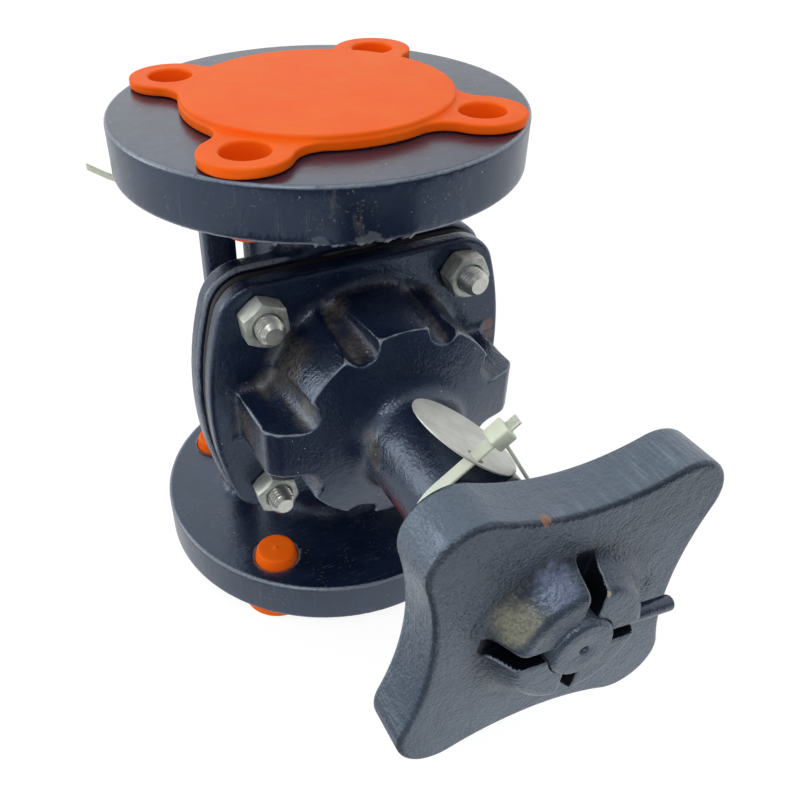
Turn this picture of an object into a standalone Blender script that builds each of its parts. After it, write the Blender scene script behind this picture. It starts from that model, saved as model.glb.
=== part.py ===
"""Flanged weir diaphragm valve with a handwheel, standing on its lower flange cover.

The flow axis is world Z. The bonnet axis points along world -Y at half height.
Bonnet pieces are drawn in the bonnet frame: X to the right, Y up, and Z out of the
valve body towards the handwheel, measured from the flow axis.
All lengths are metres. The valve is modelled closed.
"""
import math

import bmesh
import bpy
from mathutils import Matrix, Vector

# Fits
SEAT_GAP = 0.0003
RUNNING_GAP = 0.0003
CUT_OVERRUN = 0.003
WELD_DISTANCE = 0.000005
FINE_STEPS = 48
ROUND_STEPS = 32
SMALL_STEPS = 16
PEG_STEPS = 14

# Pipe flanges and the body casting
FLANGE_RADIUS = 0.0762
FLANGE_THICKNESS = 0.01905
FLANGE_EDGE_CHAMFER = 0.0008
FACE_TO_FACE = 0.19685
BOLT_EDGE_DISTANCE = 0.015875
BOLT_HOLE_RADIUS = 0.009525
BOLT_HOLE_COUNT = 4
BORE_RADIUS = 0.0254
NECK_WALL = 0.0056
NECK_FILLET = 0.005

# Bowl and weir
BODY_FACE = 0.027
BODY_FLANGE_THICKNESS = 0.008
BODY_FLANGE_MARGIN = 0.0015
SEAT_MOUTH_RADIUS = 0.038
WEIR_DROP = 0.017
WEIR_CREST_WIDTH = 0.009
WEIR_SLOPE_WIDTH = 0.018
BOWL_WALL = 0.0065

# Side ribs between the pipe flanges
RIB_WIDTH = 0.0124
RIB_DEPTH = 0.0100
RIB_OFFSET = 0.0408
RIB_SETBACK = 0.0080
RIB_EDGE_ROUND = 0.0030
RIB_WEB_HEIGHT = 0.0300

# Bonnet plate outline
PLATE_HALF_HEIGHT = 0.0525
PLATE_HALF_WIDTH = 0.0627
PLATE_SIDE_ARC_RADIUS = 0.137
PLATE_CORNER_RADIUS = 0.0155
PLATE_THICKNESS = 0.008
PLATE_EDGE_ROUND = 0.0018

# Diaphragm
DIAPHRAGM_THICKNESS = 0.0040
DIAPHRAGM_EDGE_THICKNESS = 0.0034
DIAPHRAGM_EDGE_SETBACK = 0.0008
DIAPHRAGM_BOSS_RADIUS = 0.0080
DIAPHRAGM_BOSS_HEIGHT = 0.0030
DIAPHRAGM_STUD_RADIUS = 0.0030
DIAPHRAGM_STUD_HEAD_RADIUS = 0.0050
DIAPHRAGM_STUD_LENGTH = 0.0105

# Bonnet bolts
BOLT_HALF_SPACING_X = 0.0410
BOLT_HALF_SPACING_Y = 0.0402
BOLT_RADIUS = 0.0050
BOLT_CLEARANCE = 0.0005
BOLT_POINT_CHAMFER = 0.0015
BOLT_STICK_OUT = 0.0066
NUT_WIDTH = 0.0160
NUT_HEIGHT = 0.0084
BOLT_HEAD_HEIGHT = 0.0064
# Turn of each nut as a share of a sixth of a turn: upper right, upper left, lower left, lower right
NUT_TURN_SHARES = (0.89, 0.62, 0.70, 0.25)

# Spindle, its bushing and the seals round it
STROKE = 0.0254
END_CLEARANCE = 0.0020
SPINDLE_RADIUS = 0.0105
SPINDLE_PROUD = 0.0015
SPINDLE_CHAMFER = 0.0011
SPINDLE_GROOVE_RADIUS = 0.0074
SPINDLE_FOOT_LENGTH = 0.0045
CENTRE_HOLE_RADIUS = 0.0016
CENTRE_HOLE_DEPTH = 0.0025
BUSHING_WALL = 0.0027
BUSHING_COLLAR_LEDGE = 0.0028
BUSHING_COLLAR_HEIGHT = 0.0060
BUSHING_LENGTH = 0.0360
SEAL_HEIGHT = 0.0040
RETAINING_NUT_HEIGHT = 0.0120
DUST_SEAL_HEIGHT = 0.0030

# Compressor
COMPRESSOR_RADIUS = 0.0280
COMPRESSOR_RIM_HEIGHT = 0.0045
COMPRESSOR_WEB_HEIGHT = 0.0180
COMPRESSOR_HUB_WALL = 0.0047
COMPRESSOR_HUB_HEIGHT = 0.0140
COMPRESSOR_FLOOR_THICKNESS = 0.0060
COMPRESSOR_PIN_RADIUS = 0.0016
THRUST_DISC_THICKNESS = 0.0020

# Bonnet dome
DOME_RADIUS = 0.0425
DOME_SHOULDER_RADIUS = 0.0415
DOME_ROOF_WALL = 0.0161
DOME_WALL = 0.0040
LOBE_COUNT = 8
POCKET_WIDTH = 0.0114
POCKET_FLOOR_RADIUS = 0.0350
POCKET_FOOT_RADIUS = 0.0415
POCKET_CORNER = 0.0025
SIDE_LOBE_RADIUS = 0.0512
SIDE_LOBE_WIDTH = 0.0200
SIDE_LOBE_DROP = 0.0060
NECK_ROOT_DROP = 0.0080
NECK_WALL_OUTSIDE_COUNTERBORE = 0.0028
NECK_ROOT_FILLET = 0.0040
GUIDE_FLOOR_THICKNESS = 0.0148

# Handwheel
WHEEL_STANDOFF = 0.0096
WHEEL_DEPTH = 0.0178
WHEEL_FACE_THICKNESS = 0.0070
WHEEL_RIM_WALL = 0.0065
WHEEL_CORNER_REACH = 0.0628
WHEEL_CORNER_RADIUS = 0.0144
WHEEL_WAIST_REACH = 0.0426
WHEEL_EDGE_ROUND = 0.0026
WHEEL_CORNER_ANGLE = math.radians(40.5)
WHEEL_CORNER_COUNT = 4
WHEEL_BOSS_RADIUS = 0.0185
WHEEL_BOSS_SETBACK = 0.0020
HUB_BASE_RADIUS = 0.0262
HUB_TOP_RADIUS = 0.0208
HUB_HEIGHT = 0.0100
HUB_FOOT_SPREAD = 0.0050
HUB_SLOT_ANGLE = math.radians(-7)
DRIVE_PIN_RADIUS = 0.0025
DRIVE_PIN_REACH = 0.0370
DRIVE_PIN_DEPTH = 0.0045
DRIVE_PIN_EMBED = 0.0180
DRIVE_PIN_CHAMFER = 0.0006

# Flange covers
COVER_DISC_SETBACK = 0.0262
COVER_DISC_THICKNESS = 0.0050
COVER_DISC_STEP = 0.0006
COVER_EDGE_ROUND = 0.0012
COVER_SKIRT_THICKNESS = 0.0033
COVER_SKIRT_ROUND = 0.0008
COVER_LUG_RADIUS = 0.0155
COVER_WEB_RADIUS = 0.0110
COVER_PEG_OPENING_RADIUS = 0.00825
COVER_PEG_STICK_OUT = 0.0045
COVER_PEG_TIP_THICKNESS = 0.0016
COVER_PEG_TIP_RADIUS = 0.0082

# Identity tag and the two nylon ties
TAG_RADIUS = 0.0200
TAG_THICKNESS = 0.0008
TAG_LEAN = math.radians(55)
TAG_ALONG = 0.0300
TAG_SIDE_SHIFT = 0.0112
TAG_SLOT_LENGTH = 0.0068
TAG_SLOT_WIDTH = 0.0040
TIE_WIDTH = 0.0048
TIE_THICKNESS = 0.0012
TIE_LOOSENESS = 0.0011
TIE_SKEW = math.radians(9)
TIE_ALONG = 0.0440
TIE_LEFT_TANGENT = math.radians(133)
TIE_RIGHT_TANGENT = math.radians(30)
TIE_HEAD_LENGTH = 0.0070
TIE_HEAD_WIDTH = 0.0070
TIE_HEAD_HEIGHT = 0.0060
TIE_TAIL_LENGTH = 0.0040
NECK_TIE_WIDTH = 0.0030
NECK_TIE_THICKNESS = 0.0010
NECK_TIE_DROP = 0.0120
NECK_TIE_LOOSENESS = 0.0004
NECK_TIE_HEAD = 0.0052
NECK_TIE_TAIL_REACH = 0.0810
NECK_TIE_TAIL_RISE = 0.0085
NECK_TIE_KINK_LENGTH = 0.0110
TAG_SLOT_ALONG = TIE_ALONG - TAG_ALONG

# Places along the flow axis
FLANGE_BOTTOM = COVER_DISC_THICKNESS + SEAT_GAP
FLANGE_TOP = FLANGE_BOTTOM + FACE_TO_FACE
AXIS_HEIGHT = (FLANGE_BOTTOM + FLANGE_TOP) / 2
NECK_RADIUS = BORE_RADIUS + NECK_WALL
BOLT_CIRCLE_RADIUS = FLANGE_RADIUS - BOLT_EDGE_DISTANCE
COVER_DISC_RADIUS = FLANGE_RADIUS - COVER_DISC_SETBACK
FLANGE_INNER_OFFSET = FACE_TO_FACE / 2 - FLANGE_THICKNESS

# The bowl that the closed diaphragm and the weir share
WEIR_CREST = BODY_FACE - WEIR_DROP
SEAT_SPHERE_RADIUS = (SEAT_MOUTH_RADIUS ** 2 + WEIR_DROP ** 2) / (2 * WEIR_DROP)
SEAT_SPHERE_CENTRE = WEIR_CREST + SEAT_SPHERE_RADIUS
DIAPHRAGM_OUTER_SPHERE = SEAT_SPHERE_RADIUS - SEAT_GAP
DIAPHRAGM_INNER_SPHERE = DIAPHRAGM_OUTER_SPHERE - DIAPHRAGM_THICKNESS
COMPRESSOR_SPHERE = DIAPHRAGM_INNER_SPHERE - SEAT_GAP

# Places along the bonnet axis, outwards
DIAPHRAGM_REAR = BODY_FACE + SEAT_GAP
BONNET_REAR = DIAPHRAGM_REAR + DIAPHRAGM_EDGE_THICKNESS + SEAT_GAP
BONNET_FRONT = BONNET_REAR + PLATE_THICKNESS
BODY_FLANGE_REAR = BODY_FACE - BODY_FLANGE_THICKNESS
DIAPHRAGM_CENTRE = SEAT_SPHERE_CENTRE - DIAPHRAGM_INNER_SPHERE
STUD_BASE = DIAPHRAGM_CENTRE + DIAPHRAGM_BOSS_HEIGHT + SEAT_GAP
THRUST_DISC_BOTTOM = STUD_BASE + DIAPHRAGM_STUD_LENGTH + SEAT_GAP
SPINDLE_BOTTOM = THRUST_DISC_BOTTOM + THRUST_DISC_THICKNESS + SEAT_GAP
COMPRESSOR_HUB_TOP = SPINDLE_BOTTOM + COMPRESSOR_HUB_HEIGHT
COMPRESSOR_RIM_BOTTOM = SEAT_SPHERE_CENTRE - math.sqrt(COMPRESSOR_SPHERE ** 2 - COMPRESSOR_RADIUS ** 2)
COMPRESSOR_RIM_TOP = COMPRESSOR_RIM_BOTTOM + COMPRESSOR_RIM_HEIGHT
CAVITY_SHOULDER = COMPRESSOR_RIM_TOP + STROKE + END_CLEARANCE
CAVITY_ROOF = COMPRESSOR_HUB_TOP + STROKE + END_CLEARANCE
DOME_SHOULDER = CAVITY_SHOULDER + DOME_ROOF_WALL
NECK_START = DOME_SHOULDER + NECK_ROOT_DROP
GUIDE_TOP = CAVITY_ROOF + GUIDE_FLOOR_THICKNESS
BUSHING_BOTTOM = GUIDE_TOP + SEAT_GAP + SEAL_HEIGHT + SEAT_GAP
COLLAR_BOTTOM = BUSHING_BOTTOM + BUSHING_LENGTH - BUSHING_COLLAR_HEIGHT
COUNTERBORE_FLOOR = COLLAR_BOTTOM - SEAT_GAP
COLLAR_TOP = BUSHING_BOTTOM + BUSHING_LENGTH
RETAINING_NUT_BOTTOM = COLLAR_TOP + SEAT_GAP
DUST_SEAL_BOTTOM = RETAINING_NUT_BOTTOM + RETAINING_NUT_HEIGHT + SEAT_GAP
NECK_END = DUST_SEAL_BOTTOM + DUST_SEAL_HEIGHT
WHEEL_REAR = NECK_END + WHEEL_STANDOFF
WHEEL_FRONT = WHEEL_REAR + WHEEL_DEPTH
HUB_TOP = WHEEL_FRONT + HUB_HEIGHT
BOSS_REAR = WHEEL_REAR + WHEEL_BOSS_SETBACK
SPINDLE_TOP = HUB_TOP + SPINDLE_PROUD
PIN_PLACE = HUB_TOP - DRIVE_PIN_DEPTH

# Radii that fit round the spindle
GUIDE_RADIUS = SPINDLE_RADIUS + RUNNING_GAP
BUSHING_RADIUS = GUIDE_RADIUS + BUSHING_WALL
BUSHING_BORE_RADIUS = BUSHING_RADIUS + SEAT_GAP
COLLAR_RADIUS = BUSHING_RADIUS + BUSHING_COLLAR_LEDGE
COUNTERBORE_RADIUS = COLLAR_RADIUS + SEAT_GAP
BONNET_NECK_RADIUS = COUNTERBORE_RADIUS + NECK_WALL_OUTSIDE_COUNTERBORE
HUB_SOCKET_RADIUS = SPINDLE_RADIUS + SEAT_GAP
COMPRESSOR_HUB_RADIUS = HUB_SOCKET_RADIUS + COMPRESSOR_HUB_WALL
CAVITY_MOUTH_RADIUS = COMPRESSOR_RADIUS + DOME_WALL
CAVITY_SHOULDER_RADIUS = COMPRESSOR_RADIUS + END_CLEARANCE
CAVITY_ROOF_RADIUS = COMPRESSOR_HUB_RADIUS + END_CLEARANCE

# Scene set-up and small mesh tools


def clear_scene():
    for old in list(bpy.data.objects):
        bpy.data.objects.remove(old, do_unlink=True)


def make_material(name, color, roughness, metallic=0.0):
    material = bpy.data.materials.new(name)
    material.use_nodes = True
    shader = material.node_tree.nodes["Principled BSDF"]
    shader.inputs["Base Color"].default_value = (*color, 1.0)
    shader.inputs["Roughness"].default_value = roughness
    shader.inputs["Metallic"].default_value = metallic
    material.diffuse_color = (*color, 1.0)
    return material


def face_outwards(bm):
    bmesh.ops.recalc_face_normals(bm, faces=bm.faces)
    if bm.calc_volume(signed=True) < 0:
        bmesh.ops.reverse_faces(bm, faces=bm.faces)
    return bm


def turned(profile, steps, ring=False):
    """Spin a profile of (radius, height) points about Z; a ring's profile closes on itself."""
    bm = bmesh.new()
    verts = [bm.verts.new((radius, 0, height)) for radius, height in profile]
    edges = [bm.edges.new(pair) for pair in zip(verts, verts[1:])]
    if ring:
        edges.append(bm.edges.new((verts[-1], verts[0])))
    bmesh.ops.spin(bm, geom=verts + edges, cent=(0, 0, 0), axis=(0, 0, 1),
                   angle=math.tau, steps=steps, use_merge=True)
    bmesh.ops.remove_doubles(bm, verts=bm.verts, dist=WELD_DISTANCE)
    return face_outwards(bm)


def rod(radius, low, high, steps, chamfer=0):
    """A round bar along Z, with an optional chamfer at its top."""
    profile = [(0, low), (radius, low), (radius, high - chamfer)]
    if chamfer:
        profile.append((radius - chamfer, high))
    profile.append((0, high))
    return turned(profile, steps)


def washer(inner, outer, low, high, steps):
    return turned([(inner, low), (outer, low), (outer, high), (inner, high)], steps, ring=True)


def prism(outline, low, high, edge_round=0, both_edges=True):
    """Extrude a closed (x, y) outline along Z and round the rims of its ends."""
    bm = bmesh.new()
    base = bm.faces.new([bm.verts.new((x, y, low)) for x, y in outline])
    grown = bmesh.ops.extrude_face_region(bm, geom=[base])["geom"]
    top_verts = [item for item in grown if isinstance(item, bmesh.types.BMVert)]
    bmesh.ops.translate(bm, verts=top_verts, vec=(0, 0, high - low))
    if edge_round:
        top = set(top_verts)
        rims = [e for e in bm.edges if sum(v in top for v in e.verts) == 2]
        if both_edges:
            rims += [e for e in bm.edges if not any(v in top for v in e.verts)]
        bmesh.ops.bevel(bm, geom=rims, offset=edge_round, segments=2, profile=0.5, affect="EDGES")
    return face_outwards(bm)


def block(low, high):
    """A box between two opposite corners."""
    size = [b - a for a, b in zip(low, high)]
    centre = [(a + b) / 2 for a, b in zip(low, high)]
    bm = bmesh.new()
    bmesh.ops.create_cube(bm, size=1, matrix=Matrix.Translation(centre) @ Matrix.Diagonal((*size, 1)))
    return bm


def moved(bm, matrix):
    bmesh.ops.transform(bm, matrix=matrix, verts=bm.verts)
    return bm


def gathered(shapes):
    """Put separate closed shapes into one mesh."""
    total = bmesh.new()
    for shape in shapes:
        mesh = bpy.data.meshes.new("gathered")
        shape.to_mesh(mesh)
        shape.free()
        total.from_mesh(mesh)
        bpy.data.meshes.remove(mesh)
    return total


def scratch_object(bm):
    mesh = bpy.data.meshes.new("scratch")
    bm.to_mesh(mesh)
    bm.free()
    obj = bpy.data.objects.new("scratch", mesh)
    bpy.context.collection.objects.link(obj)
    return obj


def combine(base, tool, operation):
    """Boolean two closed meshes with the EXACT solver and return the result."""
    target = scratch_object(base)
    other = scratch_object(tool)
    modifier = target.modifiers.new("combine", "BOOLEAN")
    modifier.operation = operation
    modifier.solver = "EXACT"
    modifier.object = other
    result = bmesh.new()
    result.from_object(target, bpy.context.evaluated_depsgraph_get())
    for obj in (target, other):
        mesh = obj.data
        bpy.data.objects.remove(obj)
        bpy.data.meshes.remove(mesh)
    bmesh.ops.remove_doubles(result, verts=result.verts, dist=WELD_DISTANCE)
    return result


def cut(base, tool):
    return combine(base, tool, "DIFFERENCE")


def join(base, tool):
    return combine(base, tool, "UNION")


def add_piece(name, bm, material, parent=None):
    """Make the named object, shaded smooth except at its hard edges."""
    mesh = bpy.data.meshes.new(name)
    bm.to_mesh(mesh)
    bm.free()
    mesh.materials.append(material)
    mesh.shade_smooth()
    mesh.set_sharp_from_angle(angle=math.radians(35))
    obj = bpy.data.objects.new(name, mesh)
    bpy.context.collection.objects.link(obj)
    obj.parent = parent
    return obj


def add_empty(name, matrix, parent=None):
    empty = bpy.data.objects.new(name, None)
    bpy.context.collection.objects.link(empty)
    empty.parent = parent
    empty.matrix_local = matrix
    return empty


# Outlines and places that several pieces share


def arc(centre, radius, start, end, count):
    """Points on an arc from one angle to another, both ends included."""
    points = []
    for index in range(count + 1):
        angle = start + (end - start) * index / count
        points.append((centre[0] + radius * math.cos(angle), centre[1] + radius * math.sin(angle)))
    return points


def mirrored_quarters(quarter):
    """Repeat a first-quadrant run of points, counter-clockwise, in all four quadrants."""
    back = list(reversed(quarter))
    outline = quarter + [(-x, y) for x, y in back] + [(-x, -y) for x, y in quarter]
    outline += [(x, -y) for x, y in back]
    return without_repeats(outline)


def rounded_rectangle(half_width, half_height, corner):
    quarter = arc((half_width - corner, half_height - corner), corner, 0, math.pi / 2, 3)
    return mirrored_quarters(quarter)


def without_repeats(points):
    kept = []
    for point in points:
        if not kept or math.dist(point, kept[-1]) > WELD_DISTANCE:
            kept.append(point)
    if math.dist(kept[0], kept[-1]) <= WELD_DISTANCE:
        kept.pop()
    return kept


def plate_outline(margin):
    """Flat top and bottom, bulged sides and round corners, grown by a margin."""
    half_height = PLATE_HALF_HEIGHT + margin
    side_radius = PLATE_SIDE_ARC_RADIUS + margin
    corner = PLATE_CORNER_RADIUS + margin
    side_centre = PLATE_HALF_WIDTH - PLATE_SIDE_ARC_RADIUS
    corner_y = half_height - corner
    corner_x = side_centre + math.sqrt((side_radius - corner) ** 2 - corner_y ** 2)
    meet = math.atan2(corner_y, corner_x - side_centre)
    side = arc((side_centre, 0), side_radius, 0, meet, 3)
    turn = arc((corner_x, corner_y), corner, meet, math.pi / 2, 5)
    return mirrored_quarters(side + turn)


def bolt_places():
    """Bonnet bolt centres in the bonnet frame, counter-clockwise from the upper right."""
    signs = ((1, 1), (-1, 1), (-1, -1), (1, -1))
    return [(sx * BOLT_HALF_SPACING_X, sy * BOLT_HALF_SPACING_Y) for sx, sy in signs]


def bolt_hole_cutter(low, high):
    radius = BOLT_RADIUS + BOLT_CLEARANCE
    return gathered([moved(rod(radius, low, high, SMALL_STEPS), Matrix.Translation((x, y, 0)))
                     for x, y in bolt_places()])


def flange_hole_places():
    """Pipe flange hole centres, straddling the bonnet axis."""
    step = math.tau / BOLT_HOLE_COUNT
    return [(BOLT_CIRCLE_RADIUS * math.cos(step * (index + 0.5)),
             BOLT_CIRCLE_RADIUS * math.sin(step * (index + 0.5))) for index in range(BOLT_HOLE_COUNT)]


def sphere_height(radius, sphere):
    """Height of the bowl-shaped sphere at a radius from the bonnet axis."""
    return SEAT_SPHERE_CENTRE - math.sqrt(sphere ** 2 - radius ** 2)


def sphere_run(start, end, sphere, count):
    """Profile points along the bowl-shaped sphere between two radii."""
    points = []
    for index in range(count + 1):
        radius = start + (end - start) * index / count
        points.append((radius, sphere_height(radius, sphere)))
    return points


def bonnet_matrix():
    """From the bonnet frame to the world."""
    return Matrix.Translation((0, 0, AXIS_HEIGHT)) @ Matrix.Rotation(math.pi / 2, 4, "X")


# The valve body


def barrel():
    """Both pipe flanges and the neck between them, solid."""
    lower_in = FLANGE_BOTTOM + FLANGE_THICKNESS
    upper_in = FLANGE_TOP - FLANGE_THICKNESS
    edge = FLANGE_EDGE_CHAMFER
    root = NECK_RADIUS + NECK_FILLET
    profile = [(0, FLANGE_BOTTOM), (FLANGE_RADIUS - edge, FLANGE_BOTTOM),
               (FLANGE_RADIUS, FLANGE_BOTTOM + edge), (FLANGE_RADIUS, lower_in - edge),
               (FLANGE_RADIUS - edge, lower_in)]
    profile += arc((root, lower_in + NECK_FILLET), NECK_FILLET, -math.pi / 2, -math.pi, 3)
    profile += arc((root, upper_in - NECK_FILLET), NECK_FILLET, math.pi, math.pi / 2, 3)
    profile += [(FLANGE_RADIUS - edge, upper_in), (FLANGE_RADIUS, upper_in + edge),
                (FLANGE_RADIUS, FLANGE_TOP - edge), (FLANGE_RADIUS - edge, FLANGE_TOP), (0, FLANGE_TOP)]
    return turned(profile, FINE_STEPS)


def bowl_outside():
    """The bulge behind the body flange, in the bonnet frame."""
    mouth = SEAT_MOUTH_RADIUS + BOWL_WALL
    profile = [(0, -BORE_RADIUS), (NECK_RADIUS * 0.75, -BORE_RADIUS)]
    profile += [(NECK_RADIUS + BOWL_WALL / 2, -BODY_FLANGE_THICKNESS), (mouth, BODY_FLANGE_REAR),
                (mouth, BODY_FACE - BODY_FLANGE_THICKNESS / 2), (0, BODY_FACE - BODY_FLANGE_THICKNESS / 2)]
    return turned(profile, ROUND_STEPS)


def side_rib(side):
    """One upright rib beside the neck, with a web that ties it to the bowl."""
    half_width = RIB_WIDTH / 2
    half_depth = RIB_DEPTH / 2
    reach = FLANGE_INNER_OFFSET + CUT_OVERRUN
    outline = rounded_rectangle(half_width, half_depth, RIB_EDGE_ROUND)
    rib = moved(prism(outline, -reach, reach), Matrix.Translation((side * RIB_OFFSET, 0, 0)))
    half_web = RIB_WEB_HEIGHT / 2
    web = block((min(0, side * RIB_OFFSET), -half_depth / 2, -half_web),
                (max(0, side * RIB_OFFSET), half_depth / 2, half_web))
    return moved(join(rib, web), Matrix.Translation((0, RIB_SETBACK, AXIS_HEIGHT)))


def seat_clearing():
    """Room in front of the body flange, where the neck would stand proud of its face."""
    half_width = PLATE_HALF_WIDTH + BODY_FLANGE_MARGIN
    half_height = PLATE_HALF_HEIGHT + BODY_FLANGE_MARGIN + SEAT_GAP
    front = NECK_RADIUS + CUT_OVERRUN
    return block((-half_width, -half_height, BODY_FACE), (half_width, half_height, front))


def flow_space():
    """The room inside: the bore and the bowl, less the weir across their middle."""
    mouth = SEAT_MOUTH_RADIUS
    bore = rod(BORE_RADIUS, FLANGE_BOTTOM - CUT_OVERRUN, FLANGE_TOP + CUT_OVERRUN, ROUND_STEPS)
    bowl_profile = [(0, -BODY_FLANGE_THICKNESS), (BORE_RADIUS * 0.7, -BODY_FLANGE_THICKNESS),
                    (BORE_RADIUS, 0), (mouth * 0.92, WEIR_CREST), (mouth, BODY_FLANGE_REAR),
                    (mouth, BODY_FACE + CUT_OVERRUN), (0, BODY_FACE + CUT_OVERRUN)]
    bowl = moved(turned(bowl_profile, ROUND_STEPS), bonnet_matrix())
    return cut(join(bore, bowl), moved(weir(), bonnet_matrix()))


def weir():
    """The wall across the bore, with a dished crest, in the bonnet frame."""
    half_crest = WEIR_CREST_WIDTH / 2
    half_base = half_crest + WEIR_SLOPE_WIDTH
    reach = FLANGE_RADIUS
    rows = [(-half_base, -NECK_RADIUS), (half_base, -NECK_RADIUS),
            (half_crest, BODY_FACE), (-half_crest, BODY_FACE)]
    wedge = prism(rows, -reach, reach)
    # The wedge is drawn across (y, z) and laid so that it runs along X
    turn = Matrix(((0, 0, 1, 0), (1, 0, 0, 0), (0, 1, 0, 0), (0, 0, 0, 1)))
    wedge = moved(wedge, turn)
    saddle = rod(SEAT_SPHERE_RADIUS, -reach, reach, FINE_STEPS * 2)
    lay = Matrix.Translation((0, 0, SEAT_SPHERE_CENTRE)) @ Matrix.Rotation(math.pi / 2, 4, "X")
    saddle = moved(saddle, lay)
    return cut(wedge, saddle)


def flange_hole_cutter():
    """Bolt holes through both pipe flanges."""
    holes = []
    for low in (FLANGE_BOTTOM, FLANGE_TOP - FLANGE_THICKNESS):
        for x, y in flange_hole_places():
            high = low + FLANGE_THICKNESS
            hole = rod(BOLT_HOLE_RADIUS, low - CUT_OVERRUN, high + CUT_OVERRUN, SMALL_STEPS)
            holes.append(moved(hole, Matrix.Translation((x, y, 0))))
    return gathered(holes)


def build_body(material):
    to_world = bonnet_matrix()
    body = barrel()
    body = join(body, moved(bowl_outside(), to_world))
    flange = prism(plate_outline(BODY_FLANGE_MARGIN), BODY_FLANGE_REAR, BODY_FACE)
    body = join(body, moved(flange, to_world))
    body = cut(body, moved(seat_clearing(), to_world))
    for side in (-1, 1):
        body = join(body, side_rib(side))
    body = cut(body, flow_space())
    body = cut(body, flange_hole_cutter())
    holes = bolt_hole_cutter(BODY_FLANGE_REAR - CUT_OVERRUN, BODY_FACE + CUT_OVERRUN)
    body = cut(body, moved(holes, to_world))
    return add_piece("valve_body", body, material)


# Diaphragm and what holds it


def build_diaphragm(material, parent):
    """Rubber sheet clamped at its rim and pressed down on the weir in the middle."""
    outline = plate_outline(-DIAPHRAGM_EDGE_SETBACK)
    sheet = prism(outline, DIAPHRAGM_REAR, DIAPHRAGM_REAR + DIAPHRAGM_EDGE_THICKNESS)
    drop = SEAT_SPHERE_CENTRE - DIAPHRAGM_REAR - DIAPHRAGM_EDGE_THICKNESS / 2
    rim = math.sqrt(DIAPHRAGM_OUTER_SPHERE ** 2 - drop ** 2)
    cap = sphere_run(0, rim, DIAPHRAGM_OUTER_SPHERE, 6)
    sheet = join(sheet, turned(cap + [(0, cap[-1][1])], ROUND_STEPS))
    drop = SEAT_SPHERE_CENTRE - BONNET_REAR - CUT_OVERRUN
    rim = math.sqrt(DIAPHRAGM_INNER_SPHERE ** 2 - drop ** 2)
    hollow = sphere_run(0, rim, DIAPHRAGM_INNER_SPHERE, 6)
    sheet = cut(sheet, turned(hollow + [(0, hollow[-1][1])], ROUND_STEPS))
    boss = rod(DIAPHRAGM_BOSS_RADIUS, DIAPHRAGM_CENTRE - DIAPHRAGM_THICKNESS / 2,
               DIAPHRAGM_CENTRE + DIAPHRAGM_BOSS_HEIGHT, SMALL_STEPS)
    sheet = join(sheet, boss)
    sheet = cut(sheet, bolt_hole_cutter(DIAPHRAGM_REAR - CUT_OVERRUN, BONNET_REAR + CUT_OVERRUN))
    return add_piece("diaphragm", sheet, material, parent)


def build_diaphragm_stud(material, parent):
    """Stud whose flat head sits on the diaphragm's boss and whose shank enters the compressor."""
    head_top = STUD_BASE + COMPRESSOR_FLOOR_THICKNESS / 3
    top = STUD_BASE + DIAPHRAGM_STUD_LENGTH
    profile = [(0, STUD_BASE), (DIAPHRAGM_STUD_HEAD_RADIUS, STUD_BASE),
               (DIAPHRAGM_STUD_HEAD_RADIUS, head_top), (DIAPHRAGM_STUD_RADIUS, head_top),
               (DIAPHRAGM_STUD_RADIUS, top), (0, top)]
    return add_piece("diaphragm_stud", turned(profile, SMALL_STEPS), material, parent)


def build_compressor(material, parent):
    """Dished plate that presses the diaphragm, with a hub that takes the spindle."""
    pocket_radius = DIAPHRAGM_BOSS_RADIUS + 2 * SEAT_GAP
    head_top = STUD_BASE + COMPRESSOR_FLOOR_THICKNESS / 3 + SEAT_GAP
    stud_hole = DIAPHRAGM_STUD_RADIUS + SEAT_GAP
    web_top = sphere_height(0, COMPRESSOR_SPHERE) + COMPRESSOR_WEB_HEIGHT
    socket_floor = THRUST_DISC_BOTTOM - SEAT_GAP
    profile = [(pocket_radius, head_top)]
    profile += sphere_run(pocket_radius, COMPRESSOR_RADIUS, COMPRESSOR_SPHERE, 3)
    profile += [(COMPRESSOR_RADIUS, COMPRESSOR_RIM_TOP), (COMPRESSOR_HUB_RADIUS, web_top),
                (COMPRESSOR_HUB_RADIUS, COMPRESSOR_HUB_TOP), (HUB_SOCKET_RADIUS, COMPRESSOR_HUB_TOP),
                (HUB_SOCKET_RADIUS, socket_floor), (stud_hole, socket_floor), (stud_hole, head_top)]
    shape = turned(profile, ROUND_STEPS, ring=True)
    for side in (-1, 1):
        shape = cut(shape, compressor_pin_shape(side, SEAT_GAP, CUT_OVERRUN))
    return add_piece("compressor", shape, material, parent)


def compressor_pin_shape(side, extra_radius, extra_length):
    """Pin through the compressor's hub that runs in the spindle's groove, along Y."""
    reach = COMPRESSOR_HUB_RADIUS + extra_length
    pin = rod(COMPRESSOR_PIN_RADIUS + extra_radius, -reach, reach, PEG_STEPS)
    offset = SPINDLE_GROOVE_RADIUS + COMPRESSOR_PIN_RADIUS + RUNNING_GAP
    place = SPINDLE_BOTTOM + SPINDLE_FOOT_LENGTH + COMPRESSOR_PIN_RADIUS + RUNNING_GAP
    return moved(pin, Matrix.Translation((side * offset, 0, place)) @ Matrix.Rotation(math.pi / 2, 4, "X"))


def build_compressor_pins(material, parent):
    for name, side in (("compressor_pin_left", -1), ("compressor_pin_right", 1)):
        # A pin ends inside the hub's round wall
        offset = SPINDLE_GROOVE_RADIUS + COMPRESSOR_PIN_RADIUS * 2 + RUNNING_GAP
        chord = math.sqrt(COMPRESSOR_HUB_RADIUS ** 2 - offset ** 2)
        add_piece(name, compressor_pin_shape(side, 0, chord - COMPRESSOR_HUB_RADIUS), material, parent)


# Bonnet


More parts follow.
